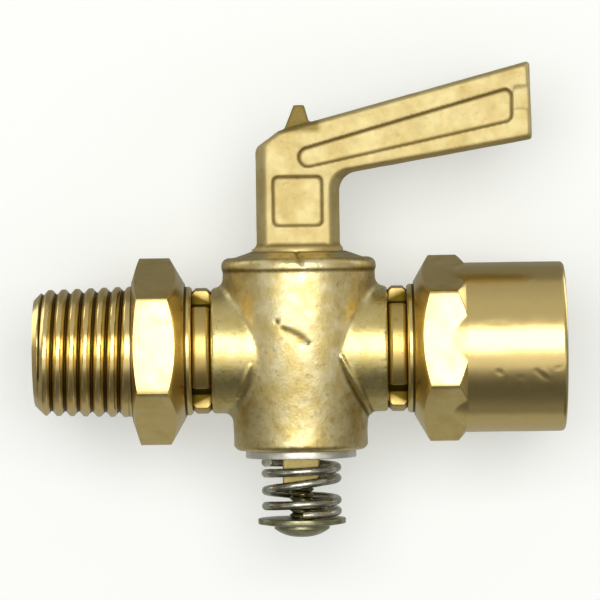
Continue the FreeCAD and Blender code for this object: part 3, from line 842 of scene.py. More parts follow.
@dataclass
class TurnedPiece:
    """A shell of rings of points round one axis, in millimetres; if closed, the last ring joins the first."""

    name: str
    node: str
    body: str
    slot: str
    lay: Lay = Lay.PIPE
    columns: int = 144
    rings: list[Ring] = field(default_factory=list)
    scars: list[Scar] = field(default_factory=list)
    # Stretch along the pipe, from the plug's axis, whose hollows show little dirt and painted shade.
    capped_span: tuple[float, float] = (0.0, 0.0)
    # First and last ring of each cut thread, in turn.
    cut_from: list[int] = field(default_factory=list)
    closed: bool = True
    arris: float = 0.07
    arris_deg: float = 28.0
    sharp_deg: float = 24.0
    # The hexagon is drawn bar: its flats have few lathe marks.
    drawn_marks: float = 0.1
    drawn_span: tuple[float, float] = (13.0, 17.3)
    drawn_r: float = 8.45
    wall_r: float = 8.6
    capped_r: float = 8.0
    capped_most: float = 0.3
    uneven: float = 0.010
    uneven_size: float = 1.6
    uneven_seed: float = 5.3

    @property
    def angles(self) -> np.ndarray:
        """Angle of each column, from +Z for a piece round the pipe and from +X for one round the plug."""
        return np.arange(self.columns) * 2 * math.pi / self.columns

    def ring(self, along: float | np.ndarray, radius: float | np.ndarray) -> None:
        """Adds a ring; a single number holds for every column."""
        ones = np.ones(self.columns)
        self.rings.append(Ring(ones * along, ones * radius))

    def thread(self, start: float, end: float, pitch: float, crest: Callable[[float], float], depth: float,
               form: ThreadForm, fade_start: float = 0.0, fade_end: float = 0.0, rows_per_pitch: int = 16,
               crest_share: float = 0.12, root_share: float = 0.06,
               limit: Callable[[float], float] | None = None) -> None:
        """Adds the rings of a right-hand thread between two places along the axis.

        Args:
            start: First place along the axis.
            end: Last place along the axis.
            pitch: Distance between turns.
            crest: Radius of the crests at a place, or of the metal's inner edge for a thread inside.
            depth: Depth of the groove.
            form: Whether the thread is cut on the outside or the inside.
            fade_start: Length over which the groove grows to full depth from the start.
            fade_end: Length over which it runs out at the end.
            rows_per_pitch: Rings in each turn.
            crest_share: Share of the pitch that the flat of the crest takes.
            root_share: Share of the pitch that the flat of the root takes.
            limit: Largest radius (or least, inside) at a place, such as a chamfer's.
        """
        rows = max(2, round(abs(end - start) / pitch * rows_per_pitch))
        turn = self.angles / (2 * math.pi)
        self.cut_from.append(len(self.rings))
        for place in np.linspace(start, end, rows + 1):
            share = np.mod(place / pitch + turn, 1.0)
            rise = np.clip((1 - np.abs(2 * share - 1) - root_share) / (1 - root_share - crest_share), 0, 1)
            strength = 1.0
            if fade_start:
                strength = min(strength, abs(place - start) / fade_start)
            if fade_end:
                strength = min(strength, abs(end - place) / fade_end)
            strength = strength * strength * (3 - 2 * strength) if strength < 1 else 1.0
            radius = crest(place) - form.value * depth * strength * (1 - rise)
            if limit is not None:
                edge = limit(place)
                radius = np.minimum(radius, edge) if form is ThreadForm.OUTSIDE else np.maximum(radius, edge)
            self.ring(place, radius)
        self.cut_from.append(len(self.rings) - 1)

    def mesh(self) -> bpy.types.Mesh:
        """Joins the rings into a closed mesh with outward faces.

        Returns:
            The mesh, with material index 1 on the cut threads.
        """
        around = self.angles
        points = []
        for ring in self.rings:
            if self.lay is Lay.PIPE:
                block = np.stack([ring.along, ring.radius * np.sin(around), ring.radius * np.cos(around)], 1)
            else:
                block = np.stack([PLUG_X + ring.radius * np.cos(around), ring.radius * np.sin(around),
                                  ring.along], 1)
            points.append(block)
        coords = np.concatenate(points) * MM
        rows, columns = len(self.rings), self.columns
        faces, marks = [], []
        spans = list(zip(self.cut_from[::2], self.cut_from[1::2]))
        for i in range(rows if self.closed else rows - 1):
            after = (i + 1) % rows
            cut = any(a <= i < b for a, b in spans)
            for j in range(columns):
                k = (j + 1) % columns
                faces.append((i * columns + j, i * columns + k, after * columns + k, after * columns + j))
                marks.append(1 if cut else 0)
        if not self.closed:
            faces.append(tuple(range(columns)))
            faces.append(tuple((rows - 1) * columns + j for j in range(columns)))
            marks += [0, 0]
        mesh = bpy.data.meshes.new(self.name)
        mesh.from_pydata(coords.tolist(), [], faces)
        mesh.polygons.foreach_set("material_index", marks)
        with editing(mesh) as work:
            bmesh.ops.recalc_face_normals(work, faces=work.faces)
            if work.calc_volume(signed=True) < 0:
                bmesh.ops.reverse_faces(work, faces=work.faces)
        return mesh

    def lathe_marks(self, mesh: bpy.types.Mesh) -> np.ndarray:
        """Says how far each vertex was turned: fully, but little on the flats of the drawn hexagon bar.

        Args:
            mesh: Mesh of the piece, in the row's frame.

        Returns:
            Shares from 0 to 1.
        """
        points, normals, _ = mesh_arrays(mesh)
        along = np.abs(points[:, 0] - PLUG_X)
        far = np.hypot(points[:, 1], points[:, 2])
        drawn = (along > self.drawn_span[0]) & (along < self.drawn_span[1]) & (far > self.drawn_r)
        flats = drawn & (np.abs(normals[:, 0]) < 0.35)
        return np.where(flats & (self.lay is Lay.PIPE), self.drawn_marks, 1.0)

    def batter(self, mesh: bpy.types.Mesh) -> None:
        """Moves the barrel's outer wall by its dents and by a slight unevenness.

        Args:
            mesh: Mesh of the piece, in the row's frame.
        """
        if not self.scars:
            return
        points, normals, _ = mesh_arrays(mesh)
        local = points - PLUG_ORIGIN
        far = np.hypot(points[:, 1], points[:, 2])
        wall = (far > self.wall_r) & (np.abs(normals[:, 0]) < 0.2)
        outer = wall * ramp(local[:, 0], self.capped_span[1], self.capped_span[1] + 0.6)
        height = self.uneven * noise_at(points * np.array([0.5, 1, 1]), self.uneven_size, self.uneven_seed)
        for scar in self.scars:
            height = height + scar.height_at(local)
        moved = (points + normals * (height * outer)[:, None]) * MM
        mesh.vertices.foreach_set("co", moved.ravel())
        mesh.update()

    def cap_root_hollows(self, mesh: bpy.types.Mesh) -> None:
        """Takes the dirt and painted shade from the shallow hollows between the hexagon and the barrel.

        Args:
            mesh: Mesh of the piece, in the row's frame.
        """
        if self.capped_span[1] <= self.capped_span[0]:
            return
        points, _, _ = mesh_arrays(mesh)
        along = points[:, 0] - PLUG_X
        far = np.hypot(points[:, 1], points[:, 2])
        capped = (along > self.capped_span[0]) & (along < self.capped_span[1]) & (far > self.capped_r)
        cap_hollows(mesh, capped, self.capped_most)

    def build(self, finishes: Sequence[bpy.types.Material]) -> bpy.types.Object:
        """Makes the piece and puts it on its body in place of the CAD node.

        Args:
            finishes: Materials of the turned faces and of the cut threads.

        Returns:
            The finished piece.
        """
        piece = new_piece(self.name, self.mesh(), finishes)
        break_arrises(piece, self.arris, 2, self.arris_deg)
        shade_by_angle(piece.data, self.sharp_deg)
        self.batter(piece.data)
        mark_hollows(piece.data, 2)
        self.cap_root_hollows(piece.data)
        set_attribute(piece.data, "turned", self.lathe_marks(piece.data))
        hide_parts(self.node)
        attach(piece, self.body)
        return piece


@dataclass
class ScrewedEnd:
    """Sizes that the two screwed ends share, in millimetres from the plug's axis."""

    tail_x: float = 5.6
    tail_r: float = 4.95
    tail_pitch: float = 0.941
    tail_depth: float = 0.6
    tail_chamfer: float = 0.55
    ring_end_x: float = 11.25
    collar_r: float = 6.75
    collar_edge: float = 0.22
    hex_start_x: float = 12.0
    hex_end_x: float = 17.5
    hex_flats: float = 17.1
    hex_turn_deg: float = 5.0
    neck_step: float = 0.3
    inner_chamfer: float = 1.6
    corner_break: float = 0.05
    bore_r: float = 3.05
    bore_edge: float = 0.3
    pipe_pitch: float = 1.411
    pipe_depth: float = 0.52
    crest_share: float = 0.28
    pipe_taper: float = 1 / 32

    @property
    def corner_r(self) -> float:
        """Radius of the hexagon's slightly broken corners."""
        return self.hex_flats / math.sqrt(3) - self.corner_break

    def hex_radius(self, angles: np.ndarray) -> np.ndarray:
        """Radius of the hexagon in each column, its front flat tilted up by the turn."""
        turn = np.mod(angles - math.radians(self.hex_turn_deg), math.pi / 3) - math.pi / 6
        return np.minimum(self.hex_flats / 2 / np.cos(turn), self.corner_r)

    def tail_and_hexagon(self, piece: TurnedPiece) -> None:
        """Adds the threaded tail, the collar and the hexagon's inner chamfer and flats.

        Args:
            piece: Piece that gets the rings.
        """
        flat = self.hex_radius(piece.angles)
        neck = self.collar_r + self.neck_step
        piece.ring(self.tail_x, self.tail_r - self.tail_chamfer)
        piece.thread(self.tail_x + 0.01, self.ring_end_x - 0.15, self.tail_pitch, lambda x: self.tail_r,
                     self.tail_depth, ThreadForm.OUTSIDE, fade_end=1.0, rows_per_pitch=10,
                     limit=lambda x: self.tail_r - self.tail_chamfer + (x - self.tail_x))
        piece.ring(self.ring_end_x, self.tail_r)
        piece.ring(self.ring_end_x, self.collar_r - self.collar_edge)
        piece.ring(self.ring_end_x + self.collar_edge, self.collar_r)
        piece.ring(self.hex_start_x - 0.2, self.collar_r)
        piece.ring(self.hex_start_x, self.collar_r)
        piece.ring(self.hex_start_x, neck)
        rise = self.inner_chamfer / (self.corner_r - neck)
        for share in (0.25, 0.5, 0.75):
            middle = neck + (flat - neck) * share
            piece.ring(self.hex_start_x + (middle - neck) * rise, middle)
        piece.ring(self.hex_start_x + (flat - neck) * rise, flat)

    def bore(self, piece: TurnedPiece, side: int) -> None:
        """Adds the bore back to the tail's mouth, and puts all rings at their places along the pipe.

        Args:
            piece: Piece that gets the rings.
            side: One for the end at +X, minus one for the end at -X.
        """
        piece.ring(self.tail_x + self.bore_edge, self.bore_r)
        piece.ring(self.tail_x, self.bore_r + self.bore_edge)
        for ring in piece.rings:
            ring.along = PLUG_X + side * ring.along


@dataclass
class MaleEnd(ScrewedEnd):
    """Left end: hexagon and tapered male pipe thread."""

    shoulder_chamfer: float = 0.75
    shoulder_r: float = 7.5
    thread_r: float = 6.88
    length: float = 10.3
    tip_chamfer: float = 1.0
    tip_edge: float = 0.35

    def build(self, finishes: Sequence[bpy.types.Material]) -> bpy.types.Object:
        """Makes the male end as one closed shell, bore included.

        Args:
            finishes: Turned brass and thread brass.

        Returns:
            The finished piece.
        """
        piece = TurnedPiece("male_end", "male_nipple", "valve", "turned_brass")
        self.tail_and_hexagon(piece)
        flat = self.hex_radius(piece.angles)
        fall = self.shoulder_chamfer / (self.corner_r - self.shoulder_r)
        for radius in (flat, self.shoulder_r + (flat - self.shoulder_r) / 2):
            piece.ring(self.hex_end_x - self.shoulder_chamfer + (self.corner_r - radius) * fall, radius)
        piece.ring(self.hex_end_x, self.shoulder_r)
        piece.ring(self.hex_end_x, self.thread_r - 0.35)
        tip_x = self.hex_end_x + self.length
        piece.thread(self.hex_end_x + 0.05, tip_x, self.pipe_pitch,
                     lambda x: self.thread_r - (x - self.hex_end_x) * self.pipe_taper, self.pipe_depth,
                     ThreadForm.OUTSIDE, fade_start=1.0, crest_share=self.crest_share,
                     limit=lambda x: self.thread_r - 0.3 - self.tip_chamfer + (tip_x - x))
        piece.ring(tip_x, self.bore_r + self.tip_edge)
        piece.ring(tip_x - self.tip_edge, self.bore_r)
        self.bore(piece, -1)
        return piece.build(finishes)


@dataclass
class FemaleEnd(ScrewedEnd):
    """Right end: hexagon and round barrel with a tapered pipe thread inside."""

    hex_turn_deg: float = 7.5
    shoulder_chamfer: float = 1.0
    shoulder_step: float = 0.2
    barrel_r: float = 8.9
    root_slope: float = 0.22
    end_x: float = 27.75
    end_chamfer: float = 0.45
    fine_step: float = 0.07
    wall_step: float = 0.22
    socket_r: float = 5.66
    socket_depth: float = 10.8
    mouth_r: float = 7.0
    dents: list[Scar] = field(default_factory=lambda: [
        Scar((20.4, -2.35), (21.0, -2.6), 0.22, -0.05), Scar((20.9, -2.2), (21.3, -2.75), 0.14, 0.03),
        Scar((24.4, -2.3), (25.6, -3.3), 0.2, -0.06), Scar((24.9, -2.2), (25.9, -3.0), 0.12, 0.035),
        Scar((22.6, -3.0), (23.3, -3.1), 0.16, -0.03), Scar((26.2, -2.2), (27.2, -1.9), 0.14, -0.03),
        Scar((19.4, 2.7), (22.0, 2.6), 0.1, -0.02), Scar((24.2, 6.2), (24.35, 6.9), 0.14, -0.03),
    ])

    def build(self, finishes: Sequence[bpy.types.Material]) -> bpy.types.Object:
        """Makes the female end as one closed shell, socket included.

        Args:
            finishes: Turned brass and thread brass.

        Returns:
            The finished piece.
        """
        piece = TurnedPiece("female_end", "female_coupling", "valve", "turned_brass", columns=240,
                            scars=self.dents, capped_span=(15.2, self.hex_end_x + 0.4))
        self.tail_and_hexagon(piece)
        flat = self.hex_radius(piece.angles)
        shoulder_r = self.barrel_r - self.shoulder_step
        fall = self.shoulder_chamfer / (self.corner_r - shoulder_r)
        root_x = self.hex_end_x
        chamfer_x = root_x - self.shoulder_chamfer
        first = root_x - (self.barrel_r - self.hex_flats / 2) / self.root_slope
        # The flats run out in a shallow funnel round the barrel's root.
        for place in np.arange(first - 0.05, root_x + 0.1, self.fine_step):
            cone = self.corner_r - max(place - chamfer_x, 0.0) / fall
            barrel = self.barrel_r - max(root_x - place, 0.0) * self.root_slope
            piece.ring(place, np.maximum(np.minimum(flat, cone), barrel))
        for place in np.arange(root_x + 0.25, self.end_x - self.end_chamfer, self.wall_step):
            piece.ring(place, self.barrel_r)
        for turn in np.radians((0, 22, 45, 68, 90)):
            piece.ring(self.end_x - self.end_chamfer * (1 - math.sin(turn)),
                       self.barrel_r - self.end_chamfer * (1 - math.cos(turn)))
        piece.ring(self.end_x, self.mouth_r)
        mouth_x = self.end_x - (self.mouth_r - self.socket_r)
        socket_x = self.end_x - self.socket_depth
        piece.thread(self.end_x - 0.01, socket_x, self.pipe_pitch,
                     lambda x: self.socket_r - (mouth_x - x) * self.pipe_taper, self.pipe_depth,
                     ThreadForm.INSIDE, fade_end=1.2, crest_share=self.crest_share,
                     limit=lambda x: self.mouth_r - (self.end_x - x))
        inner = self.socket_r - (mouth_x - socket_x) * self.pipe_taper
        # A drill leaves a cone of about 120 degrees at the socket's bottom.
        piece.ring(socket_x - (inner - self.bore_r) * 0.58, self.bore_r)
        self.bore(piece, 1)
        return piece.build(finishes)


@dataclass
class TrimmedNode:
    """A small machined piece: a copy of its CAD solid with its arrises broken."""

    node: str
    name: str
    body: str
    slot: str
    bevel: float = 0.08
    flat_deg: float = 0.6
    arris_deg: float = 30.0
    sharp_deg: float = 32.0

    def copy(self) -> bpy.types.Mesh:
        """Copies the CAD mesh with its loose triangles joined into whole faces.

        Returns:
            The new mesh.
        """
        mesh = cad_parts[self.node].data.copy()
        with editing(mesh) as work:
            bmesh.ops.remove_doubles(work, verts=work.verts, dist=WELD)
            bmesh.ops.dissolve_limit(work, angle_limit=math.radians(self.flat_deg), verts=work.verts,
                                     edges=work.edges)
        return mesh

    def shade_and_dirt_lines(self, points: np.ndarray) -> np.ndarray:
        """Hollowness in 1/mm of the dirt and painted shade on the piece: none."""
        return np.zeros(len(points))

    def build(self, finish: bpy.types.Material) -> bpy.types.Object:
        """Makes the piece and puts it on its body in place of the CAD node.

        Args:
            finish: Material of the whole piece.

        Returns:
            The finished piece.
        """
        piece = new_piece(self.name, self.copy(), [finish])
        break_arrises(piece, self.bevel, 3, self.arris_deg)
        shade_by_angle(piece.data, self.sharp_deg)
        points = mesh_arrays(piece.data)[0]
        set_attribute(piece.data, "turned", np.ones(len(points)))
        set_attribute(piece.data, "hollow", self.shade_and_dirt_lines(points))
        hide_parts(self.node)
        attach(piece, self.body)
        return piece


@dataclass
class LockRing(TrimmedNode):
    """The narrow notched ring between an arm and the end that is screwed into it."""

    body: str = "valve"
    slot: str = "turned_brass"
    # Strength and width of the painted shade in the grooves beside the ring.
    dirt_and_shade: float = 1.6
    shade_from_side: tuple[float, float] = (0.22, 0.10)

    def shade_and_dirt_lines(self, points: np.ndarray) -> np.ndarray:
        """Hollowness in 1/mm of the painted shade in the grooves along the outer edges of the ring's side
        faces.

        Args:
            points: Points in millimetres.

        Returns:
            One number for each point.
        """
        first, last = points[:, 0].min(), points[:, 0].max()
        from_side = (last - first) / 2 - np.abs(points[:, 0] - (first + last) / 2)
        return self.dirt_and_shade * ramp(from_side, *self.shade_from_side)


@dataclass
class WireSpring:
    """Right-hand compression spring of round wire, close-wound at both ends, made by Geometry Nodes."""

    top_z: float = -11.3
    length: float = 6.4
    wire_r: float = 0.45
    mean_r: float = 3.75
    top_turns: float = 1.7
    free_turns: float = 0.6
    bottom_turns: float = 1.5
    closed_pitch: float = 1.15
    start_deg: float = 200.0
    lift: float = 1.5
    points_per_turn: float = 40.0
    section_points: int = 20
    sharp_deg: float = 40.0

    def tree(self) -> bpy.types.NodeTree:
        """Builds the node tree: a line bent into the coil, swept with the wire's round section.

        Returns:
            The tree, with named inputs for its sizes.
        """
        tree = bpy.data.node_groups.new("wire_spring", "GeometryNodeTree")
        face = tree.interface
        face.new_socket("Geometry", in_out="INPUT", socket_type="NodeSocketGeometry")
        names = ("Top", "Length", "Wire Radius", "Mean Radius", "Top Turns", "Free Turns", "Bottom Turns",
                 "Closed Pitch", "Start Angle", "Plug X")
        for name in names:
            face.new_socket(name, in_out="INPUT", socket_type="NodeSocketFloat")
        face.new_socket("Material", in_out="INPUT", socket_type="NodeSocketMaterial")
        face.new_socket("Geometry", in_out="OUTPUT", socket_type="NodeSocketGeometry")
        given = add_node(tree, "NodeGroupInput").outputs

        line = add_node(tree, "GeometryNodeCurvePrimitiveLine")
        factor = add_node(tree, "GeometryNodeSplineParameter").outputs["Factor"]
        # Each row names a sum, and gives its operation and the names or numbers that it takes.
        sums = (
            ("Upper Turns", "ADD", "Top Turns", "Free Turns"),
            ("Turns", "ADD", "Upper Turns", "Bottom Turns"),
            ("Count", "MULTIPLY", "Turns", self.points_per_turn),
            ("Turn", "MULTIPLY", "Factor", "Turns"),
            ("Whole Drop", "MULTIPLY_ADD", "Wire Radius", -2.0, "Length"),
            ("Closed Turns", "ADD", "Top Turns", "Bottom Turns"),
            ("Closed Drop", "MULTIPLY", "Closed Turns", "Closed Pitch"),
            ("Free Drop", "SUBTRACT", "Whole Drop", "Closed Drop"),
            ("In Top", "MINIMUM", "Turn", "Top Turns"),
            ("Top Part", "MULTIPLY", "In Top", "Closed Pitch"),
            ("Left Top", "SUBTRACT", "Turn", "Top Turns"),
            ("Past Top", "MAXIMUM", "Left Top", 0.0),
            ("Part Free", "DIVIDE", "Past Top", "Free Turns"),
            ("Free Share", "MINIMUM", "Part Free", 1.0),
            ("Free Part", "MULTIPLY", "Free Share", "Free Drop"),
            ("Left Free", "SUBTRACT", "Past Top", "Free Turns"),
            ("Past Free", "MAXIMUM", "Left Free", 0.0),
            ("Low Part", "MULTIPLY", "Past Free", "Closed Pitch"),
            ("Upper Part", "ADD", "Top Part", "Free Part"),
            ("Drop", "ADD", "Upper Part", "Low Part"),
            ("Angle", "MULTIPLY_ADD", "Turn", -2 * math.pi, "Start Angle"),
            ("Across", "COSINE", "Angle"),
            ("Back", "SINE", "Angle"),
            ("X", "MULTIPLY_ADD", "Across", "Mean Radius", "Plug X"),
            ("Y", "MULTIPLY", "Back", "Mean Radius"),
            ("First Z", "SUBTRACT", "Top", "Wire Radius"),
            ("Z", "SUBTRACT", "First Z", "Drop"),
        )
        known = {name: given[name] for name in names} | {"Factor": factor}
        for name, operation, *terms in sums:
            numbers = {i: term for i, term in enumerate(terms) if not isinstance(term, str)}
            sockets = {i: known[term] for i, term in enumerate(terms) if isinstance(term, str)}
            node = add_node(tree, "ShaderNodeMath", {"operation": operation} | numbers, sockets)
            known[name] = node.outputs["Value"]
        points = add_node(tree, "GeometryNodeResampleCurve", links={"Curve": line.outputs[0],
                                                                    "Count": known["Count"]})
        place = add_node(tree, "ShaderNodeCombineXYZ", links={i: known[axis] for i, axis in enumerate("XYZ")})
        coil = add_node(tree, "GeometryNodeSetPosition", links={"Geometry": points.outputs[0],
                                                                "Position": place.outputs[0]})
        section = add_node(tree, "GeometryNodeCurvePrimitiveCircle", {"Resolution": self.section_points},
                           {"Radius": given["Wire Radius"]})
        wire = add_node(tree, "GeometryNodeCurveToMesh", {"Fill Caps": True},
                        {"Curve": coil.outputs[0], "Profile Curve": section.outputs[0]})
        solid = add_node(tree, "GeometryNodeRealizeInstances", links={0: wire.outputs[0]})
        dressed = add_node(tree, "GeometryNodeSetMaterial", links={"Geometry": solid.outputs[0],
                                                                   "Material": given["Material"]})
        add_node(tree, "NodeGroupOutput", links={0: dressed.outputs[0]})
        return tree

    def build(self, finish: bpy.types.Material) -> bpy.types.Object:
        """Makes the spring as a plain mesh, which rides on the washer's body.

        Args:
            finish: Material of the wire.

        Returns:
            The finished piece.
        """
        tree = self.tree()
        piece = new_piece("wire_spring", bpy.data.meshes.new("wire_spring"), [])
        modifier = piece.modifiers.new("coil", "NODES")
        modifier.node_group = tree
        values = {
            "Top": self.top_z * MM, "Length": self.length * MM, "Wire Radius": self.wire_r * MM,
            "Mean Radius": self.mean_r * MM, "Top Turns": self.top_turns, "Free Turns": self.free_turns,
            "Bottom Turns": self.bottom_turns, "Closed Pitch": self.closed_pitch * MM,
            "Start Angle": math.radians(self.start_deg), "Plug X": PLUG_X * MM, "Material": finish,
        }
        for item in tree.interface.items_tree:
            if item.in_out == "INPUT" and item.name in values:
                modifier[item.identifier] = values[item.name]
        apply_modifiers(piece)
        with editing(piece.data) as work:
            bmesh.ops.remove_doubles(work, verts=work.verts, dist=WELD)
            bmesh.ops.recalc_face_normals(work, faces=work.faces)
        piece.data.materials.clear()
        piece.data.materials.append(finish)
        shade_by_angle(piece.data, self.sharp_deg)
        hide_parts("spring")
        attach(piece, "washer")
        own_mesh(piece)
        return piece


@dataclass
class TailScrew:
    """Headed screw in the plug's tail: the CAD head with broken arrises, and a shank with its thread cut."""

    head_top_z: float = -18.45
    tail_end_z: float = -14.2
    grip: float = 4.6
    radius: float = 1.3
    pitch: float = 0.6
    depth: float = 0.34
    point_chamfer: float = 0.3
    overlap: float = 0.05
    cut_above: float = 0.02
    arris: float = 0.07
    sharp_deg: float = 34.0

    def build(self, finish: bpy.types.Material) -> bpy.types.Object:
        """Makes head and shank as one piece.

        Args:
            finish: Material of the screw.

        Returns:
            The finished piece.
        """
        mesh = TrimmedNode("tail_screw", "tail_screw_dressed", "plug", "plated_steel").copy()
        with editing(mesh) as work:
            everything = work.verts[:] + work.edges[:] + work.faces[:]
            plane = (0, 0, (self.head_top_z + self.cut_above) * MM)
            cut = bmesh.ops.bisect_plane(work, geom=everything, plane_co=plane, plane_no=(0, 0, 1),
                                         clear_outer=True)
            rim = [item for item in cut["geom_cut"] if isinstance(item, bmesh.types.BMEdge)]
            bmesh.ops.holes_fill(work, edges=rim)
        piece = new_piece("tail_screw_dressed", mesh, [finish])
        break_arrises(piece, self.arris, 2, 30)
        shank = TurnedPiece("screw_shank", "tail_screw", "plug", "plated_steel", lay=Lay.PLUG, columns=48,
                            closed=False)
        bottom, top = self.head_top_z - self.overlap, self.tail_end_z + self.grip
        shank.ring(bottom, self.radius - self.depth)
        shank.thread(bottom + 0.02, top - 0.02, self.pitch, lambda z: self.radius, self.depth,
                     ThreadForm.OUTSIDE, rows_per_pitch=10,
                     limit=lambda z: self.radius - self.point_chamfer + (top - z))
        shank.ring(top, self.radius - self.depth)
        extra = shank.mesh()
        with editing(piece.data) as work:
            work.from_mesh(extra)
            bmesh.ops.remove_doubles(work, verts=work.verts, dist=WELD)
        bpy.data.meshes.remove(extra)
        for polygon in piece.data.polygons:
            polygon.material_index = 0
        shade_by_angle(piece.data, self.sharp_deg)
        mark_hollows(piece.data, 1)
        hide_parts("tail_screw")
        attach(piece, "plug")
        return piece


@dataclass(frozen=True)
class Panel:
    """A soft rectangular lamp, sized by the angles that it covers as seen from the object."""

    name: str
    low_deg: float
    high_deg: float
    half_width_deg: float
    radiance: float
    azimuth_deg: float = 0.0
    distance: float = 500.0

    def build(self, centre: Vector) -> None:
        """Hangs the lamp facing the object.

        Args:
            centre: Middle of the object in millimetres.
        """
        up, turn = math.radians((self.low_deg + self.high_deg) / 2), math.radians(self.azimuth_deg)
        direction = Vector((math.sin(turn) * math.cos(up), -math.cos(turn) * math.cos(up), math.sin(up)))
        data = bpy.data.lights.new(self.name, "AREA")
        data.shape = "RECTANGLE"
        data.size = 2 * self.distance * math.tan(math.radians(self.half_width_deg)) * MM
        data.size_y = 2 * self.distance * math.tan(math.radians((self.high_deg - self.low_deg) / 2)) * MM
        data.energy = 4 * self.radiance * data.size * data.size_y
        lamp = bpy.data.objects.new(self.name, data)
        bpy.context.scene.collection.objects.link(lamp)
        facing = (-direction).to_track_quat("-Z", "Y").to_matrix().to_4x4()
        lamp.matrix_world = Matrix.Translation((centre + direction * self.distance) * MM) @ facing


@dataclass
class Studio:
    """Camera, lamps, room and the pale sheet behind the object."""

    camera_place: tuple[float, float, float] = (20.5, -450.0, 11.0)
    centre: tuple[float, float, float] = (17.6, 0.0, 5.2)
    roll_deg: float = 0.8
    frame_width: float = 63.0
    sheet_y: float = 14.0
    sheet_half: float = 45.0
    sheet_reach: float = 105.0
    sensor_width: float = 36.0
    seen_level: float = 0.98
    fill_level: float = 0.32
    wall_blue: float = 0.97
    room_levels: tuple[tuple[float, float], ...] = (
        (-90, 0.24), (-76, 0.14), (-62, 0.10), (-48, 0.11), (-29, 0.26), (0, 0.30), (25, 0.42), (36, 0.52),
        (60, 0.60), (76, 0.52), (90, 0.46))
    panels: tuple[Panel, ...] = (
        Panel("key", -5.0, 26.5, 26.0, 2.9),
        Panel("low_strip", -29.0, -5.5, 62.0, 0.5),
        Panel("far_left", 5.0, 45.0, 20.0, 1.2, azimuth_deg=-118.0),
        Panel("far_right", 5.0, 45.0, 20.0, 1.2, azimuth_deg=118.0),
    )

    def camera(self) -> None:
        """Places the camera at the photograph's viewing angle, turned by the small roll of the picture."""
        place, target = Vector(self.camera_place), Vector(self.centre)
        data = bpy.data.cameras.new("camera")
        data.sensor_width = self.sensor_width
        data.lens = self.sensor_width * abs(place.y) / self.frame_width
        data.clip_start = 0.01
        data.clip_end = 10.0
        camera = bpy.data.objects.new("camera", data)
        bpy.context.scene.collection.objects.link(camera)
        look = (target - place).to_track_quat("-Z", "Y").to_matrix().to_4x4()
        roll = Matrix.Rotation(-math.radians(self.roll_deg), 4, "Z")
        camera.matrix_world = Matrix.Translation(place * MM) @ look @ roll
        bpy.context.scene.camera = camera

    def room(self) -> None:
        """Makes the room: pale to the camera, and in the metal a light band of walls over a dark floor."""
        world = bpy.data.worlds.new("room")
        world.use_nodes = True
        bpy.context.scene.world = world
        tree = world.node_tree
        tree.nodes.clear()
        coords = add_node(tree, "ShaderNodeTexCoord").outputs["Generated"]
        parts = add_node(tree, "ShaderNodeSeparateXYZ", links={0: coords})
        share = add_node(tree, "ShaderNodeMapRange", {"From Min": -1.0}, {"Value": parts.outputs["Z"]})
        bands = add_node(tree, "ShaderNodeValToRGB", links={0: share.outputs["Result"]})
        for _ in self.room_levels[2:]:
            bands.color_ramp.elements.new(0.5)
        for stop, (height_deg, level) in zip(bands.color_ramp.elements, self.room_levels):
            stop.position = (math.sin(math.radians(height_deg)) + 1) / 2
            stop.color = (level, level, level * self.wall_blue, 1.0)
        walls = add_node(tree, "ShaderNodeBackground", {"Strength": 1.0}, {"Color": bands.outputs["Color"]})
        plain = add_node(tree, "ShaderNodeBackground", {"Color": linear("#FFFFFF"),
                                                        "Strength": self.fill_level})
        pale = add_node(tree, "ShaderNodeBackground", {"Color": linear("#F2F2F0"),
                                                       "Strength": self.seen_level})
        # The camera sees a pale room; metal sees its walls, dimmer towards the floor as in the photograph.
        path = add_node(tree, "ShaderNodeLightPath")
        bounced = add_node(tree, "ShaderNodeMath", {"operation": "MAXIMUM"},
                           {0: path.outputs["Is Glossy Ray"], 1: path.outputs["Is Transmission Ray"]})
        lit = add_node(tree, "ShaderNodeMixShader", links={0: bounced.outputs[0], 1: plain.outputs[0],
                                                           2: walls.outputs[0]})
        seen = add_node(tree, "ShaderNodeMixShader", links={0: path.outputs["Is Camera Ray"],
                                                            1: lit.outputs[0], 2: pale.outputs[0]})
        add_node(tree, "ShaderNodeOutputWorld", links={"Surface": seen.outputs[0]})

    def sheet(self) -> None:
        """Hangs the pale sheet behind the object, facing the camera."""
        x, _, z = self.centre
        half, reach = self.sheet_half, self.sheet_reach
        corners = [(x - half, z - reach), (x + half, z - reach), (x + half, z + reach), (x - half, z + reach)]
        mesh = bpy.data.meshes.new("sheet")
        mesh.from_pydata([(a * MM, self.sheet_y * MM, b * MM) for a, b in corners], [], [(0, 1, 2, 3)])
        piece = new_piece("sheet", mesh, [SheetFinish().build()])

    def build(self) -> None:
        """Sets up everything that isn't the object."""
        bpy.context.scene.view_settings.view_transform = "Standard"
        self.camera()
        for panel in self.panels:
            panel.build(Vector(self.centre))
        self.room()
        self.sheet()


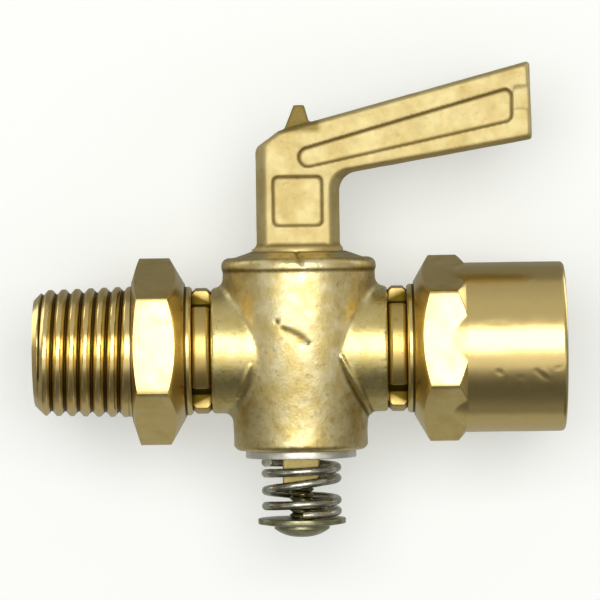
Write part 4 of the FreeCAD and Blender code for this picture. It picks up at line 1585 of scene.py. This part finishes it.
def main() -> None:
    """Builds the studio and every piece, and reports each one."""
    logging.basicConfig(level=logging.INFO, format="%(message)s")
    Studio().build()
    # Hot-forged brass, shot blasted: a pale, softly mottled skin with fine pits.
    forged = BrassFinish("forged_brass").build()
    # The lever's forged skin was never polished: drier, with broad clouds and little shine.
    lever = BrassFinish("forged_lever_brass", light="#DFCF98", deep="#D0BC80", hollow="#78642A", rough=0.62,
                        rough_spread=0.08, cloud_mm=3.0, film_share=0.7, speck_share=0.25,
                        pit_height_mm=0.02, hollow_gain=0.75).build()
    # Drawn bar turned on a lathe: bright, smooth, with tool rings round it.
    turned = BrassFinish("turned_brass", light="#E6CE8A", deep="#DABD74", turned="#E3C985", rough=0.24,
                         rough_spread=0.05, grain_height_mm=0.002, pit_height_mm=0.003,
                         speck_share=0.10).build()
    # A thread cut with a die: redder and duller, because the torn flanks scatter the light.
    thread = BrassFinish("cut_thread_brass", light="#E8CC94", deep="#D8B47C", turned="#E3C38A",
                         hollow="#8A6230", rough=0.48, rough_spread=0.08, turned_rough=0.46,
                         grain_height_mm=0.004, pit_height_mm=0.004, speck_share=0.25, hollow_gain=0.06,
                         turning_height_mm=0.002).build()
    # Lock rings between the parts: darker brass, with oxide that nobody wipes off.
    ringed = BrassFinish("lock_ring_brass", light="#D2BA76", deep="#AE9450", turned="#C6AC68",
                         hollow="#5A4A14", rough=0.34, rough_spread=0.10, turned_rough=0.32,
                         grain_height_mm=0.006, pit_height_mm=0.02, speck_share=0.6,
                         turning_height_mm=0.002).build()
    # Bright zinc on a stamped washer: nearly white, a little cloudy.
    zinc = SteelFinish("zinc_plate", "#EEEBDE", "#D2CEBE", rough=0.36).build()
    # Drawn spring wire: grey with sharp highlights along the coils.
    wire = SteelFinish("spring_wire", "#CCC9B8", "#8E8B78", rough=0.22).build()
    # Zinc with a yellow passivation that has worn: olive grey.
    passivated = SteelFinish("passivated_screw", "#AEAA86", "#827E5C", rough=0.32).build()

    pieces = [
        ValveBody().build(forged),
        PlugLever().build(lever),
        MaleEnd().build([turned, thread]),
        FemaleEnd().build([turned, thread]),
        LockRing("left_lock_ring", "left_ring").build(ringed),
        LockRing("right_lock_ring", "right_ring").build(ringed),
        TrimmedNode("keyed_washer", "washer_dressed", "washer", "plated_steel").build(zinc),
        WireSpring().build(wire),
        TrimmedNode("spring_seat", "seat_dressed", "plug", "plated_steel").build(passivated),
        TailScrew().build(passivated),
    ]
    for piece in pieces:
        LOG.info("%s: %d faces", piece.name, len(piece.data.polygons))


if __name__ == "__main__":
    main()
